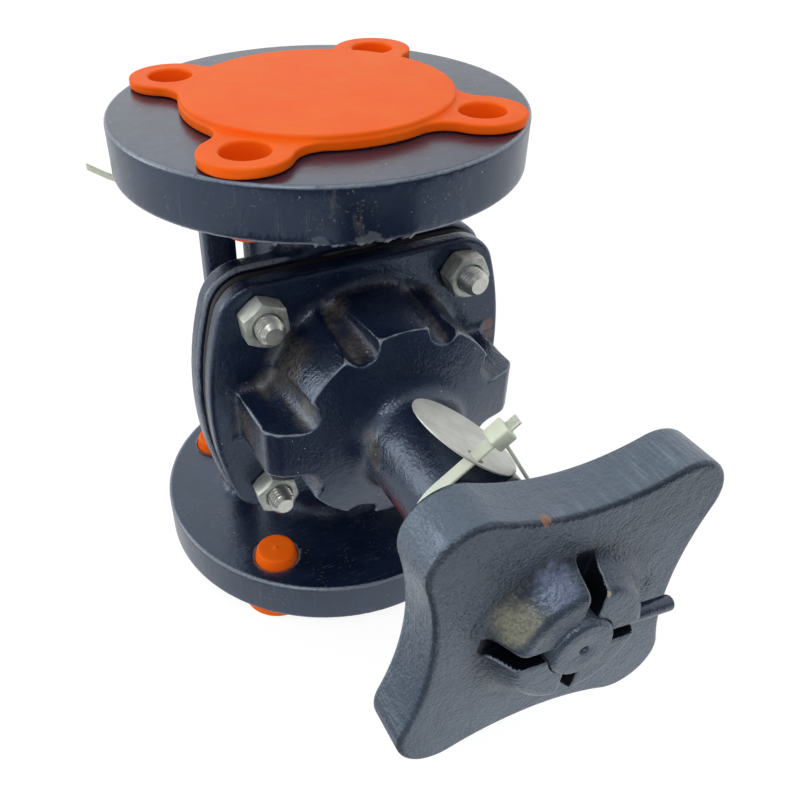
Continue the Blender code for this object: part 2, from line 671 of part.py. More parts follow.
def dome_outside():
    """Turned dome and neck before its pockets are cut."""
    root = NECK_ROOT_FILLET
    foot = BONNET_REAR + PLATE_THICKNESS / 2
    neck = BONNET_NECK_RADIUS
    profile = [(0, foot), (DOME_RADIUS, foot), (DOME_RADIUS, BONNET_FRONT),
               (DOME_SHOULDER_RADIUS, DOME_SHOULDER), (neck + root, NECK_START - root / 2),
               (neck + root / 4, NECK_START + root / 2), (neck, NECK_START + root * 1.5),
               (neck, NECK_END), (0, NECK_END)]
    return turned(profile, FINE_STEPS)


def side_lobe(side):
    """The larger lobe on the left or right of the dome."""
    half = SIDE_LOBE_WIDTH / 2
    inner = DOME_SHOULDER_RADIUS / 2
    drop = SIDE_LOBE_DROP
    foot = BONNET_REAR + PLATE_THICKNESS / 2
    rows = [(inner, foot), (SIDE_LOBE_RADIUS + drop / 4, foot),
            (SIDE_LOBE_RADIUS, DOME_SHOULDER - drop),
            (SIDE_LOBE_RADIUS - drop / 2, DOME_SHOULDER - drop / 2),
            (DOME_SHOULDER_RADIUS, DOME_SHOULDER), (inner, DOME_SHOULDER)]
    shape = prism([(side * x, z) for x, z in rows], -half, half)
    return moved(shape, Matrix.Rotation(math.pi / 2, 4, "X"))


def pocket(index):
    """Cutter for the recess between two lobes, open at the front and outside."""
    corner = POCKET_CORNER
    reach = SIDE_LOBE_RADIUS + PLATE_CORNER_RADIUS
    foot = BONNET_FRONT + SEAT_GAP
    top = NECK_START
    rows = [(POCKET_FOOT_RADIUS, foot), (reach, foot), (reach, top), (POCKET_FLOOR_RADIUS, top)]
    half = POCKET_WIDTH / 2
    shape = prism(rows, -half, half)
    inner = [e for e in shape.edges
             if all(math.hypot(v.co.x - POCKET_FLOOR_RADIUS, v.co.y - top) < corner
                    or math.hypot(v.co.x - POCKET_FOOT_RADIUS, v.co.y - foot) < corner for v in e.verts)
             and abs(e.verts[0].co.z - e.verts[1].co.z) < WELD_DISTANCE]
    bmesh.ops.bevel(shape, geom=inner, offset=corner, segments=2, profile=0.5, affect="EDGES")
    angle = math.tau * (index + 0.5) / LOBE_COUNT
    return moved(shape, Matrix.Rotation(angle, 4, "Z") @ Matrix.Rotation(math.pi / 2, 4, "X"))


def bonnet_cavity():
    """Room inside for the compressor's travel, the spindle guide, the seal and the bushing."""
    profile = [(0, BONNET_REAR - CUT_OVERRUN), (CAVITY_MOUTH_RADIUS, BONNET_REAR - CUT_OVERRUN),
               (CAVITY_MOUTH_RADIUS, BONNET_REAR), (CAVITY_SHOULDER_RADIUS, CAVITY_SHOULDER),
               (CAVITY_ROOF_RADIUS, CAVITY_ROOF), (GUIDE_RADIUS, CAVITY_ROOF), (GUIDE_RADIUS, GUIDE_TOP),
               (BUSHING_BORE_RADIUS, GUIDE_TOP), (BUSHING_BORE_RADIUS, COUNTERBORE_FLOOR),
               (COUNTERBORE_RADIUS, COUNTERBORE_FLOOR), (COUNTERBORE_RADIUS, NECK_END + CUT_OVERRUN),
               (0, NECK_END + CUT_OVERRUN)]
    return turned(profile, ROUND_STEPS)


def build_bonnet(material, parent):
    plate = prism(plate_outline(0), BONNET_REAR, BONNET_FRONT, PLATE_EDGE_ROUND, both_edges=False)
    shape = join(plate, dome_outside())
    for side in (-1, 1):
        shape = join(shape, side_lobe(side))
    shape = cut(shape, gathered([pocket(index) for index in range(LOBE_COUNT)]))
    shape = cut(shape, bonnet_cavity())
    shape = cut(shape, bolt_hole_cutter(BONNET_REAR - CUT_OVERRUN, BONNET_FRONT + CUT_OVERRUN))
    return add_piece("bonnet", shape, material, parent)


# Bonnet bolts and nuts


def hexagon(width, turn):
    corner = width / 2 / math.cos(math.pi / 6)
    return [(corner * math.cos(turn + math.tau * index / 6), corner * math.sin(turn + math.tau * index / 6))
            for index in range(6)]


def build_bolts(material, parent):
    """Four hex bolts put in from behind the body flange."""
    head_low = BODY_FLANGE_REAR - SEAT_GAP - BOLT_HEAD_HEIGHT
    tip = BONNET_FRONT + SEAT_GAP + NUT_HEIGHT + BOLT_STICK_OUT
    for number, (x, y) in enumerate(bolt_places(), 1):
        head = prism(hexagon(NUT_WIDTH, 0), head_low, head_low + BOLT_HEAD_HEIGHT)
        shank = rod(BOLT_RADIUS, head_low + BOLT_HEAD_HEIGHT / 2, tip, SMALL_STEPS, BOLT_POINT_CHAMFER)
        bolt = moved(join(head, shank), Matrix.Translation((x, y, 0)))
        add_piece(f"bonnet_bolt_{number}", bolt, material, parent)


def build_nuts(material, parent):
    low = BONNET_FRONT + SEAT_GAP
    for number, (x, y) in enumerate(bolt_places(), 1):
        turn = NUT_TURN_SHARES[number - 1] * math.tau / 6
        nut = prism(hexagon(NUT_WIDTH, turn), low, low + NUT_HEIGHT)
        hole = rod(BOLT_RADIUS + SEAT_GAP, low - CUT_OVERRUN, low + NUT_HEIGHT + CUT_OVERRUN, SMALL_STEPS)
        nut = moved(cut(nut, hole), Matrix.Translation((x, y, 0)))
        add_piece(f"bonnet_nut_{number}", nut, material, parent)


# Spindle drive in the bonnet neck


def build_spindle(material, parent):
    """Threaded shaft, grooved at its foot for the compressor's pins."""
    edge = SPINDLE_CHAMFER
    hole = CENTRE_HOLE_RADIUS
    groove_low = SPINDLE_BOTTOM + SPINDLE_FOOT_LENGTH
    groove_high = groove_low + 2 * (COMPRESSOR_PIN_RADIUS + RUNNING_GAP)
    profile = [(0, SPINDLE_BOTTOM), (SPINDLE_RADIUS, SPINDLE_BOTTOM), (SPINDLE_RADIUS, groove_low),
               (SPINDLE_GROOVE_RADIUS, groove_low), (SPINDLE_GROOVE_RADIUS, groove_high),
               (SPINDLE_RADIUS, groove_high), (SPINDLE_RADIUS, SPINDLE_TOP - edge),
               (SPINDLE_RADIUS - edge, SPINDLE_TOP), (hole, SPINDLE_TOP),
               (hole / 2, SPINDLE_TOP - CENTRE_HOLE_DEPTH / 2), (0, SPINDLE_TOP - CENTRE_HOLE_DEPTH)]
    shape = turned(profile, ROUND_STEPS)
    shape = cut(shape, drive_pin_shape(SEAT_GAP, SEAT_GAP))
    return add_piece("spindle", shape, material, parent)


def drive_pin_shape(extra_radius, extra_length):
    """Cross pin that ties the handwheel's hub to the spindle, standing out at one side."""
    pin = rod(DRIVE_PIN_RADIUS + extra_radius, SPINDLE_RADIUS - DRIVE_PIN_EMBED - extra_length,
              DRIVE_PIN_REACH, PEG_STEPS, DRIVE_PIN_CHAMFER)
    lay = Matrix.Rotation(HUB_SLOT_ANGLE, 4, "Z") @ Matrix.Rotation(math.pi / 2, 4, "Y")
    return moved(pin, Matrix.Translation((0, 0, PIN_PLACE)) @ lay)


def build_bushing(material, parent):
    """Threaded bronze sleeve with a collar, fixed in the bonnet's neck."""
    profile = [(GUIDE_RADIUS, BUSHING_BOTTOM), (BUSHING_RADIUS, BUSHING_BOTTOM),
               (BUSHING_RADIUS, COLLAR_BOTTOM), (COLLAR_RADIUS, COLLAR_BOTTOM),
               (COLLAR_RADIUS, COLLAR_TOP), (GUIDE_RADIUS, COLLAR_TOP)]
    return add_piece("spindle_bushing", turned(profile, ROUND_STEPS, ring=True), material, parent)


def build_neck_rings(materials, parent):
    """The seals round the spindle and the nut that holds its bushing."""
    rings = (
        ("spindle_seal", BUSHING_RADIUS, GUIDE_TOP + SEAT_GAP, SEAL_HEIGHT, "rubber"),
        ("bushing_retaining_nut", COLLAR_RADIUS, RETAINING_NUT_BOTTOM, RETAINING_NUT_HEIGHT, "steel"),
        ("dust_seal", COLLAR_RADIUS, DUST_SEAL_BOTTOM, DUST_SEAL_HEIGHT, "rubber"),
    )
    for name, outer, low, height, kind in rings:
        ring = washer(GUIDE_RADIUS, outer, low, low + height, ROUND_STEPS)
        add_piece(name, ring, materials[kind], parent)


def build_thrust_disc(material, parent):
    """Disc under the spindle's foot, in the compressor's socket."""
    disc = rod(SPINDLE_RADIUS, THRUST_DISC_BOTTOM, THRUST_DISC_BOTTOM + THRUST_DISC_THICKNESS, ROUND_STEPS)
    return add_piece("thrust_disc", disc, material, parent)


# Handwheel


def wheel_outline(inset):
    """Four round corners joined by hollow sides, drawn in by an inset."""
    corner = WHEEL_CORNER_RADIUS
    place = WHEEL_CORNER_REACH - corner
    waist = WHEEL_WAIST_REACH
    half_step = math.pi / WHEEL_CORNER_COUNT
    lean = place * math.cos(half_step)
    # The hollow's circle touches both corner circles and passes the waist point
    hollow = (place ** 2 + waist ** 2 - 2 * lean * waist - corner ** 2) / (2 * (corner - waist + lean))
    centre = waist + hollow
    gap_angle = math.atan2(centre * math.sin(half_step), centre * math.cos(half_step) - place)
    points = []
    for index in range(WHEEL_CORNER_COUNT):
        turn = WHEEL_CORNER_ANGLE + index * 2 * half_step
        middle = (place * math.cos(turn), place * math.sin(turn))
        points += arc(middle, corner - inset, turn - gap_angle, turn + gap_angle, 8)
        side = turn + half_step
        far = (centre * math.cos(side), centre * math.sin(side))
        spread = gap_angle - half_step
        back = arc(far, hollow + inset, side + math.pi + spread, side + math.pi - spread, 6)
        points += back[1:-1]
    return without_repeats(points)


def hub_slots():
    """Two crossed slots that part the hub's cone into four lobes."""
    half = DRIVE_PIN_RADIUS + SEAT_GAP
    reach = HUB_BASE_RADIUS + CUT_OVERRUN
    low = WHEEL_FRONT + half / 4
    slot = block((-reach, -half, low), (reach, half, HUB_TOP + CUT_OVERRUN))
    other = block((-half, -reach, low), (half, reach, HUB_TOP + CUT_OVERRUN))
    return moved(join(slot, other), Matrix.Rotation(HUB_SLOT_ANGLE, 4, "Z"))


def build_wheel(material, parent):
    """Hollow-backed handwheel with a slotted cone hub."""
    shape = prism(wheel_outline(0), WHEEL_REAR, WHEEL_FRONT, WHEEL_EDGE_ROUND)
    ceiling = WHEEL_FRONT - WHEEL_FACE_THICKNESS
    shape = cut(shape, prism(wheel_outline(WHEEL_RIM_WALL), WHEEL_REAR - CUT_OVERRUN, ceiling))
    boss = rod(WHEEL_BOSS_RADIUS, BOSS_REAR, WHEEL_FRONT - WHEEL_FACE_THICKNESS / 2, ROUND_STEPS)
    shape = join(shape, boss)
    edge = HUB_HEIGHT / 10
    root = WHEEL_FRONT - WHEEL_FACE_THICKNESS / 2
    foot = HUB_BASE_RADIUS + HUB_FOOT_SPREAD
    cone = turned([(0, root), (foot, root), (foot, WHEEL_FRONT + edge / 4),
                   (HUB_BASE_RADIUS + edge, WHEEL_FRONT + edge),
                   (HUB_BASE_RADIUS - edge, WHEEL_FRONT + 3 * edge),
                   (HUB_TOP_RADIUS + edge, HUB_TOP - edge * 2),
                   (HUB_TOP_RADIUS - edge, HUB_TOP), (0, HUB_TOP)], ROUND_STEPS)
    shape = join(shape, cone)
    shape = cut(shape, hub_slots())
    shape = cut(shape, rod(GUIDE_RADIUS, WHEEL_REAR - CUT_OVERRUN, HUB_TOP + CUT_OVERRUN, ROUND_STEPS))
    return add_piece("handwheel", shape, material, parent)


def build_drive_pin(material, parent):
    return add_piece("drive_pin", drive_pin_shape(0, 0), material, parent)


# Flange covers


def cover_outline():
    """Disc with a lug at each flange hole and hollow webs between them."""
    web = COVER_WEB_RADIUS
    to_web = COVER_DISC_RADIUS + web
    to_lug = COVER_LUG_RADIUS + web
    reach = BOLT_CIRCLE_RADIUS
    away = math.acos((to_web ** 2 + reach ** 2 - to_lug ** 2) / (2 * to_web * reach))
    points = []
    step = math.tau / BOLT_HOLE_COUNT
    for index in range(BOLT_HOLE_COUNT):
        turn = step * (index + 0.5)
        lug = Vector((reach * math.cos(turn), reach * math.sin(turn)))
        sides = []
        for sign in (-1, 1):
            aside = turn + sign * away
            centre = Vector((to_web * math.cos(aside), to_web * math.sin(aside)))
            inward = math.atan2(-centre.y, -centre.x)
            towards = math.atan2(lug.y - centre.y, lug.x - centre.x)
            change = (towards - inward + math.pi) % math.tau - math.pi
            sides.append((centre, inward, change))
        centre, inward, change = sides[0]
        points += arc(centre, web, inward, inward + change, 4)
        start = math.atan2(sides[0][0].y - lug.y, sides[0][0].x - lug.x)
        sweep = (math.atan2(sides[1][0].y - lug.y, sides[1][0].x - lug.x) - start) % math.tau
        points += arc(lug, COVER_LUG_RADIUS, start, start + sweep, 12)[1:-1]
        centre, inward, change = sides[1]
        points += arc(centre, web, inward + change, inward, 4)
        rim_start = turn + away
        points += arc((0, 0), COVER_DISC_RADIUS, rim_start, rim_start + step - 2 * away, 4)[1:-1]
    return without_repeats(points)


def cover_shape():
    """Cover with its flange side at height 0, its disc above and its pegs below."""
    skirt = prism(cover_outline(), 0, COVER_SKIRT_THICKNESS, COVER_SKIRT_ROUND, both_edges=False)
    edge = COVER_EDGE_ROUND
    rim = COVER_DISC_RADIUS - COVER_DISC_STEP
    top = COVER_DISC_THICKNESS
    disc = [(0, COVER_SKIRT_THICKNESS / 2), (rim, COVER_SKIRT_THICKNESS / 2), (rim, top - edge)]
    disc += [(rim - edge / 3, top - edge / 3), (rim - edge, top), (0, top)]
    shape = join(skirt, turned(disc, FINE_STEPS))
    pegs, bores = [], []
    peg_end = -FLANGE_THICKNESS - 2 * SEAT_GAP - COVER_PEG_STICK_OUT
    peg_radius = BOLT_HOLE_RADIUS - SEAT_GAP
    for x, y in flange_hole_places():
        place = Matrix.Translation((x, y, 0))
        profile = [(0, COVER_SKIRT_THICKNESS / 2), (peg_radius, COVER_SKIRT_THICKNESS / 2),
                   (peg_radius, -FLANGE_THICKNESS - SEAT_GAP), (COVER_PEG_TIP_RADIUS, peg_end), (0, peg_end)]
        pegs.append(moved(turned(profile, PEG_STEPS), place))
        bottom = peg_end + COVER_PEG_TIP_THICKNESS
        narrow = COVER_PEG_TIP_RADIUS - COVER_PEG_TIP_THICKNESS
        mouth = COVER_PEG_OPENING_RADIUS
        profile = [(0, bottom), (narrow, bottom), (mouth, -FLANGE_THICKNESS + COVER_PEG_STICK_OUT),
                   (mouth, COVER_SKIRT_THICKNESS + CUT_OVERRUN),
                   (0, COVER_SKIRT_THICKNESS + CUT_OVERRUN)]
        bores.append(moved(turned(profile, PEG_STEPS), place))
    return cut(join(shape, gathered(pegs)), gathered(bores))


def build_covers(material, lifting):
    top_place = Matrix.Translation((0, 0, FLANGE_TOP + SEAT_GAP))
    add_piece("top_cover", moved(cover_shape(), top_place), material, lifting)
    bottom_place = Matrix.Translation((0, 0, COVER_DISC_THICKNESS)) @ Matrix.Rotation(math.pi, 4, "X")
    add_piece("bottom_cover", moved(cover_shape(), bottom_place), material)


# Identity tag and nylon ties


def tag_matrix():
    """From the tag's own frame, normal along Z and length along Y, to the bonnet frame."""
    out = Vector((math.cos(TAG_LEAN), math.sin(TAG_LEAN), 0))
    up_left = Vector((-math.sin(TAG_LEAN), math.cos(TAG_LEAN), 0))
    place = out * (BONNET_NECK_RADIUS + RUNNING_GAP) + up_left * TAG_SIDE_SHIFT
    place.z = NECK_START + TAG_ALONG
    along = Vector((0, 0, 1))
    return Matrix.Translation(place) @ Matrix((up_left, along, out)).transposed().to_4x4()


def tag_hinge_along():
    """Distance from the tag's centre to its swing line, just past its chord on the neck."""
    return math.sqrt(TAG_RADIUS ** 2 - TAG_SIDE_SHIFT ** 2) + RUNNING_GAP


def build_tag(material, parent):
    """Thin round tag resting on the neck, with a slot near its rim for the tie."""
    shape = rod(TAG_RADIUS, 0, TAG_THICKNESS, FINE_STEPS)
    half = TAG_SLOT_WIDTH / 2
    ends = TAG_SLOT_LENGTH / 2 - half
    rows = arc((0, ends), half, 0, math.pi, 5) + arc((0, -ends), half, math.pi, math.tau, 5)
    slot = prism(rows, -CUT_OVERRUN, TAG_THICKNESS + CUT_OVERRUN)
    slot_side = tie_crossing_side()
    shape = cut(shape, moved(slot, Matrix.Translation((slot_side, TAG_SLOT_ALONG, 0))))
    hinge = tag_hinge_along()
    shape = moved(shape, Matrix.Translation((0, -hinge, 0)))
    return add_piece("identity_tag", shape, material, parent)


def tie_crossing_side():
    """Where the tie's straight run crosses the tag's plane, along the tag's X."""
    radius = BONNET_NECK_RADIUS + TIE_LOOSENESS + TIE_THICKNESS / 2
    start = Vector((radius * math.cos(TIE_LEFT_TANGENT), radius * math.sin(TIE_LEFT_TANGENT)))
    run = Vector((math.sin(TIE_LEFT_TANGENT), -math.cos(TIE_LEFT_TANGENT)))
    out = Vector((math.cos(TAG_LEAN), math.sin(TAG_LEAN)))
    up_left = Vector((-math.sin(TAG_LEAN), math.cos(TAG_LEAN)))
    level = BONNET_NECK_RADIUS + RUNNING_GAP + TAG_THICKNESS / 2
    travel = (level - start.dot(out)) / run.dot(out)
    return (start + run * travel).dot(up_left) - TAG_SIDE_SHIFT


def tie_loop_outline(radius):
    """Teardrop round the neck: an arc and two straight runs that meet at the head."""
    left, right = TIE_LEFT_TANGENT, TIE_RIGHT_TANGENT
    half = (left - right) / 2
    middle = (left + right) / 2
    peak = radius / math.cos(half)
    points = arc((0, 0), radius, left, math.tau + right, 22)
    points.append((peak * math.cos(middle), peak * math.sin(middle)))
    return points


def build_tag_tie(material, parent):
    """Nylon tie that loops loosely round the neck and through the tag."""
    inner = BONNET_NECK_RADIUS + TIE_LOOSENESS
    half = TIE_WIDTH / 2
    band = prism(tie_loop_outline(inner + TIE_THICKNESS), -half, half)
    band = cut(band, prism(tie_loop_outline(inner), -half - CUT_OVERRUN, half + CUT_OVERRUN))
    half_angle = (TIE_LEFT_TANGENT - TIE_RIGHT_TANGENT) / 2
    middle = (TIE_LEFT_TANGENT + TIE_RIGHT_TANGENT) / 2
    reach = (inner + TIE_THICKNESS / 2) / math.cos(half_angle)
    run = TIE_LEFT_TANGENT - math.pi / 2
    head = block((-TIE_HEAD_LENGTH / 2, -TIE_HEAD_HEIGHT / 2, -TIE_HEAD_WIDTH / 2),
                 (TIE_HEAD_LENGTH / 2, TIE_HEAD_HEIGHT / 2, TIE_HEAD_WIDTH / 2))
    tail = block((0, -TIE_THICKNESS / 2, -half * 0.9),
                 (TIE_HEAD_LENGTH / 2 + TIE_TAIL_LENGTH, TIE_THICKNESS / 2, half * 0.9))
    peak = Matrix.Translation((reach * math.cos(middle), reach * math.sin(middle), 0))
    knob = moved(join(head, tail), peak @ Matrix.Rotation(run, 4, "Z"))
    shape = join(band, knob)
    lay = Matrix.Translation((0, 0, NECK_START + TIE_ALONG)) @ Matrix.Rotation(-TIE_SKEW, 4, "Y")
    shape = moved(shape, lay)
    return add_piece("tag_tie", shape, material, parent)


def build_neck_tie(material):
    """Tie round the upper neck, its head at the back and its tail pointing out to the left."""
    inner = NECK_RADIUS + NECK_TIE_LOOSENESS
    outer = inner + NECK_TIE_THICKNESS
    half = NECK_TIE_WIDTH / 2
    band = washer(inner, outer, -half, half, ROUND_STEPS)
    middle = (inner + outer) / 2 + NECK_TIE_HEAD / 2
    size = NECK_TIE_HEAD / 2
    head = block((-size, -size, -size), (size, size, size))
    kink = -NECK_TIE_TAIL_REACH + NECK_TIE_KINK_LENGTH
    path = [(0, 0), (kink, NECK_TIE_TAIL_RISE / 6), (-NECK_TIE_TAIL_REACH, NECK_TIE_TAIL_RISE)]
    rows = [(x, z - half * 0.9) for x, z in path] + [(x, z + half * 0.9) for x, z in reversed(path)]
    thick = NECK_TIE_THICKNESS
    tail = moved(prism(rows, -thick / 2, thick / 2), Matrix.Rotation(math.pi / 2, 4, "X"))
    knob = moved(join(head, tail), Matrix.Translation((0, middle - thick / 2, 0)))
    height = FLANGE_TOP - FLANGE_THICKNESS - NECK_TIE_DROP
    return add_piece("neck_tie", moved(join(band, knob), Matrix.Translation((0, 0, height))), material)


def main():
    clear_scene()
    enamel = make_material("black_enamel", (0.020, 0.023, 0.034), 0.35)
    wheel_enamel = make_material("wheel_enamel", (0.026, 0.029, 0.038), 0.40)
    rubber = make_material("black_rubber", (0.015, 0.015, 0.017), 0.75)
    zinc = make_material("zinc_steel", (0.50, 0.51, 0.44), 0.38, 1.0)
    steel = make_material("turned_steel", (0.42, 0.42, 0.44), 0.35, 1.0)
    iron = make_material("bare_iron", (0.16, 0.16, 0.17), 0.55, 0.8)
    bronze = make_material("bronze", (0.45, 0.30, 0.14), 0.40, 1.0)
    orange = make_material("orange_plastic", (0.95, 0.11, 0.010), 0.38)
    tag_steel = make_material("tag_steel", (0.62, 0.62, 0.60), 0.33, 1.0)
    nylon = make_material("natural_nylon", (0.72, 0.74, 0.60), 0.42)

    bonnet_axis = add_empty("bonnet_axis", bonnet_matrix())
    compressor_axis = add_empty("compressor_axis", Matrix.Identity(4), bonnet_axis)
    wheel_axis = add_empty("wheel_axis", Matrix.Identity(4), compressor_axis)
    cover_axis = add_empty("cover_axis", Matrix.Identity(4))
    tag_place = tag_matrix() @ Matrix.Translation((0, tag_hinge_along(), 0))
    tag_axis = add_empty("tag_axis", tag_place, bonnet_axis)

    build_body(enamel)
    build_diaphragm(rubber, bonnet_axis)
    build_bonnet(enamel, bonnet_axis)
    build_bolts(zinc, bonnet_axis)
    build_nuts(zinc, bonnet_axis)
    build_bushing(bronze, bonnet_axis)
    build_neck_rings({"rubber": rubber, "steel": steel}, bonnet_axis)
    build_compressor(iron, compressor_axis)
    build_compressor_pins(steel, compressor_axis)
    build_diaphragm_stud(steel, compressor_axis)
    build_thrust_disc(bronze, compressor_axis)
    build_spindle(steel, wheel_axis)
    build_wheel(wheel_enamel, wheel_axis)
    build_drive_pin(steel, wheel_axis)
    build_covers(orange, cover_axis)
    build_tag(tag_steel, tag_axis)
    build_tag_tie(nylon, bonnet_axis)
    build_neck_tie(nylon)


main()
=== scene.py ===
"""The looks of a flanged weir diaphragm valve, on a pale floor under soft studio light.

The flow axis is world Z and the bonnet axis points along world -Y at half height.
Bonnet pieces are drawn in the bonnet frame: X to the right, Y up, and Z out of the
valve body towards the handwheel. All lengths are metres.
"""
import math

import bmesh
import bpy
import numpy as np
from mathutils import Matrix, Vector
from numpy import hypot, maximum, minimum


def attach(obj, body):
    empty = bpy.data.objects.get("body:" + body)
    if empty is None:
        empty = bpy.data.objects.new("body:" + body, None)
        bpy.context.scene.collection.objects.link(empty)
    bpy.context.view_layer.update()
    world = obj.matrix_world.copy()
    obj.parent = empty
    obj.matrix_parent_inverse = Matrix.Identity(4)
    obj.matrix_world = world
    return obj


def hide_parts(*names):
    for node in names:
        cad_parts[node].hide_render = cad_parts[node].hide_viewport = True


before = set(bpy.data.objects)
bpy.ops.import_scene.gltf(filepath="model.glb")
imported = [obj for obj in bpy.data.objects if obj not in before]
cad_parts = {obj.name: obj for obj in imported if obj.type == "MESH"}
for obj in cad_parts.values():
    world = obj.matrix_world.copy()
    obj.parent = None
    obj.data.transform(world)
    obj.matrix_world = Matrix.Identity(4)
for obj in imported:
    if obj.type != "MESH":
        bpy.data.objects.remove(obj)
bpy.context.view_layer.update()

# Grid steps of the cast and moulded shapes, and the most triangles in one piece
TRIANGLE_LIMIT = 185000
BODY_STEP = 0.0009
BONNET_STEP = 0.00062
WHEEL_STEP = 0.0006
COVER_STEP = 0.00055

# Pipe flanges and the body casting
SEAT_GAP = 0.0003
FLANGE_RADIUS = 0.0762
FLANGE_THICKNESS = 0.01905
FLANGE_EDGE_ROUND = 0.0012
FACE_TO_FACE = 0.19685
BOLT_CIRCLE_RADIUS = 0.060325
BOLT_HOLE_RADIUS = 0.009525
BORE_RADIUS = 0.0254
NECK_RADIUS = 0.0310
FLANGE_BOTTOM = 0.0053
FLANGE_TOP = FLANGE_BOTTOM + FACE_TO_FACE
AXIS_HEIGHT = (FLANGE_BOTTOM + FLANGE_TOP) / 2
BODY_FACE = 0.027
BODY_FLANGE_REAR = 0.019
BODY_FLANGE_MARGIN = 0.0015
BOWL_MOUTH = 0.0445
RIB_OFFSET = 0.0408
RIB_SETBACK = 0.0080
RIB_HALF_WIDTH = 0.0062
RIB_HALF_DEPTH = 0.0050
RIB_EDGE_ROUND = 0.0030
RIB_WEB_HALF_HEIGHT = 0.0150
WEIR_CREST = 0.010
SEAT_MOUTH_RADIUS = 0.0380
STUD_HOLE_RADIUS = 0.0055

# Bonnet
PLATE_HALF_HEIGHT = 0.0525
PLATE_HALF_WIDTH = 0.0627
PLATE_SIDE_ARC_RADIUS = 0.137
PLATE_CORNER_RADIUS = 0.0155
DIAPHRAGM_REAR = 0.0273
DIAPHRAGM_EDGE_THICKNESS = 0.0034
BONNET_REAR = 0.0310
BONNET_FRONT = 0.0390
DOME_RADIUS = 0.0425
DOME_SHOULDER_RADIUS = 0.0415
DOME_SHOULDER = 0.0720
LOBE_COUNT = 8
POCKET_WIDTH = 0.0114
POCKET_FLOOR_RADIUS = 0.0350
POCKET_FOOT_RADIUS = 0.0415
SIDE_LOBE_RADIUS = 0.0512
SIDE_LOBE_WIDTH = 0.0200
SIDE_LOBE_DROP = 0.0060
BONNET_NECK_RADIUS = 0.0194
NECK_START = 0.0800
NECK_END = 0.1431
CAVITY_RADIUS = 0.0300
CAVITY_SHOULDER = 0.0559
CAVITY_ROOF = 0.0721
GUIDE_RADIUS = 0.0108
BUSHING_BORE_RADIUS = 0.0138
BUSHING_BORE_BOTTOM = 0.0869
COUNTERBORE_FLOOR = 0.1212
COUNTERBORE_RADIUS = 0.0166

# Bolts and nuts
BOLT_HALF_SPACING_X = 0.0410
BOLT_HALF_SPACING_Y = 0.0402
BOLT_RADIUS = 0.0050
BOLT_PITCH = 0.0016
NUT_WIDTH = 0.0160
NUT_HEIGHT = 0.0084
BOLT_STICK_OUT = 0.0066
BOLT_HEAD_HEIGHT = 0.0064
NUT_TURN_SHARES = (0.89, 0.62, 0.70, 0.25)

# Spindle, handwheel and pin
SPINDLE_RADIUS = 0.0105
SPINDLE_ROOT_RADIUS = 0.0088
SPINDLE_PITCH = 0.00635
SPINDLE_TOP = 0.1820
WHEEL_REAR = 0.1527
WHEEL_FRONT = 0.1705
WHEEL_FACE_THICKNESS = 0.0070
WHEEL_RIM_WALL = 0.0065
WHEEL_CORNER_REACH = 0.0628
WHEEL_CORNER_RADIUS = 0.0144
WHEEL_WAIST_REACH = 0.0426
WHEEL_EDGE_ROUND = 0.0019
WHEEL_CORNER_ANGLE = math.radians(40.5)
BOSS_RADIUS = 0.0185
BOSS_REAR = 0.1547
HUB_BASE_RADIUS = 0.0262
HUB_TOP_RADIUS = 0.0208
HUB_TOP = 0.1805
HUB_SLOT_ANGLE = math.radians(-7)
PIN_RADIUS = 0.0025
PIN_REACH = 0.0370
PIN_PLACE = 0.1760

# Flange covers
COVER_DISC_RADIUS = 0.0500
COVER_DISC_THICKNESS = 0.0050
COVER_SKIRT_THICKNESS = 0.0033
COVER_LUG_RADIUS = 0.0155
COVER_WEB_RADIUS = 0.0110
PEG_RADIUS = 0.009225
PEG_TIP_RADIUS = 0.0082
PEG_END = -0.02415
PEG_BORE_RADIUS = 0.00825

# Identity tag and the two nylon ties
TAG_RADIUS = 0.0200
TAG_THICKNESS = 0.0008
TAG_LEAN = math.radians(55)
TAG_ALONG = 0.0300
TAG_SIDE_SHIFT = 0.0112
TAG_SLOT_LENGTH = 0.0068
TAG_SLOT_WIDTH = 0.0040
TAG_SLOT_ALONG = 0.0140
TIE_WIDTH = 0.0048
TIE_THICKNESS = 0.0012
TIE_MIDDLE_RADIUS = BONNET_NECK_RADIUS + 0.0011 + TIE_THICKNESS / 2
TIE_SKEW = math.radians(9)
TIE_ALONG = 0.0440
TIE_LEFT_TANGENT = math.radians(133)
TIE_RIGHT_TANGENT = math.radians(30)
TIE_HEAD_SIZE = (0.0070, 0.0060, 0.0070)
TIE_TAIL_LENGTH = 0.0040
NECK_TIE_WIDTH = 0.0030
NECK_TIE_THICKNESS = 0.0010
NECK_TIE_HEIGHT = 0.1711
NECK_TIE_HEAD = 0.0052
NECK_TIE_TAIL_REACH = 0.0810
NECK_TIE_TAIL_RISE = 0.0085
NECK_TIE_KINK = -0.0700

TO_WORLD = Matrix.Translation((0, 0, AXIS_HEIGHT)) @ Matrix.Rotation(math.pi / 2, 4, "X")


# Camera, floor, light


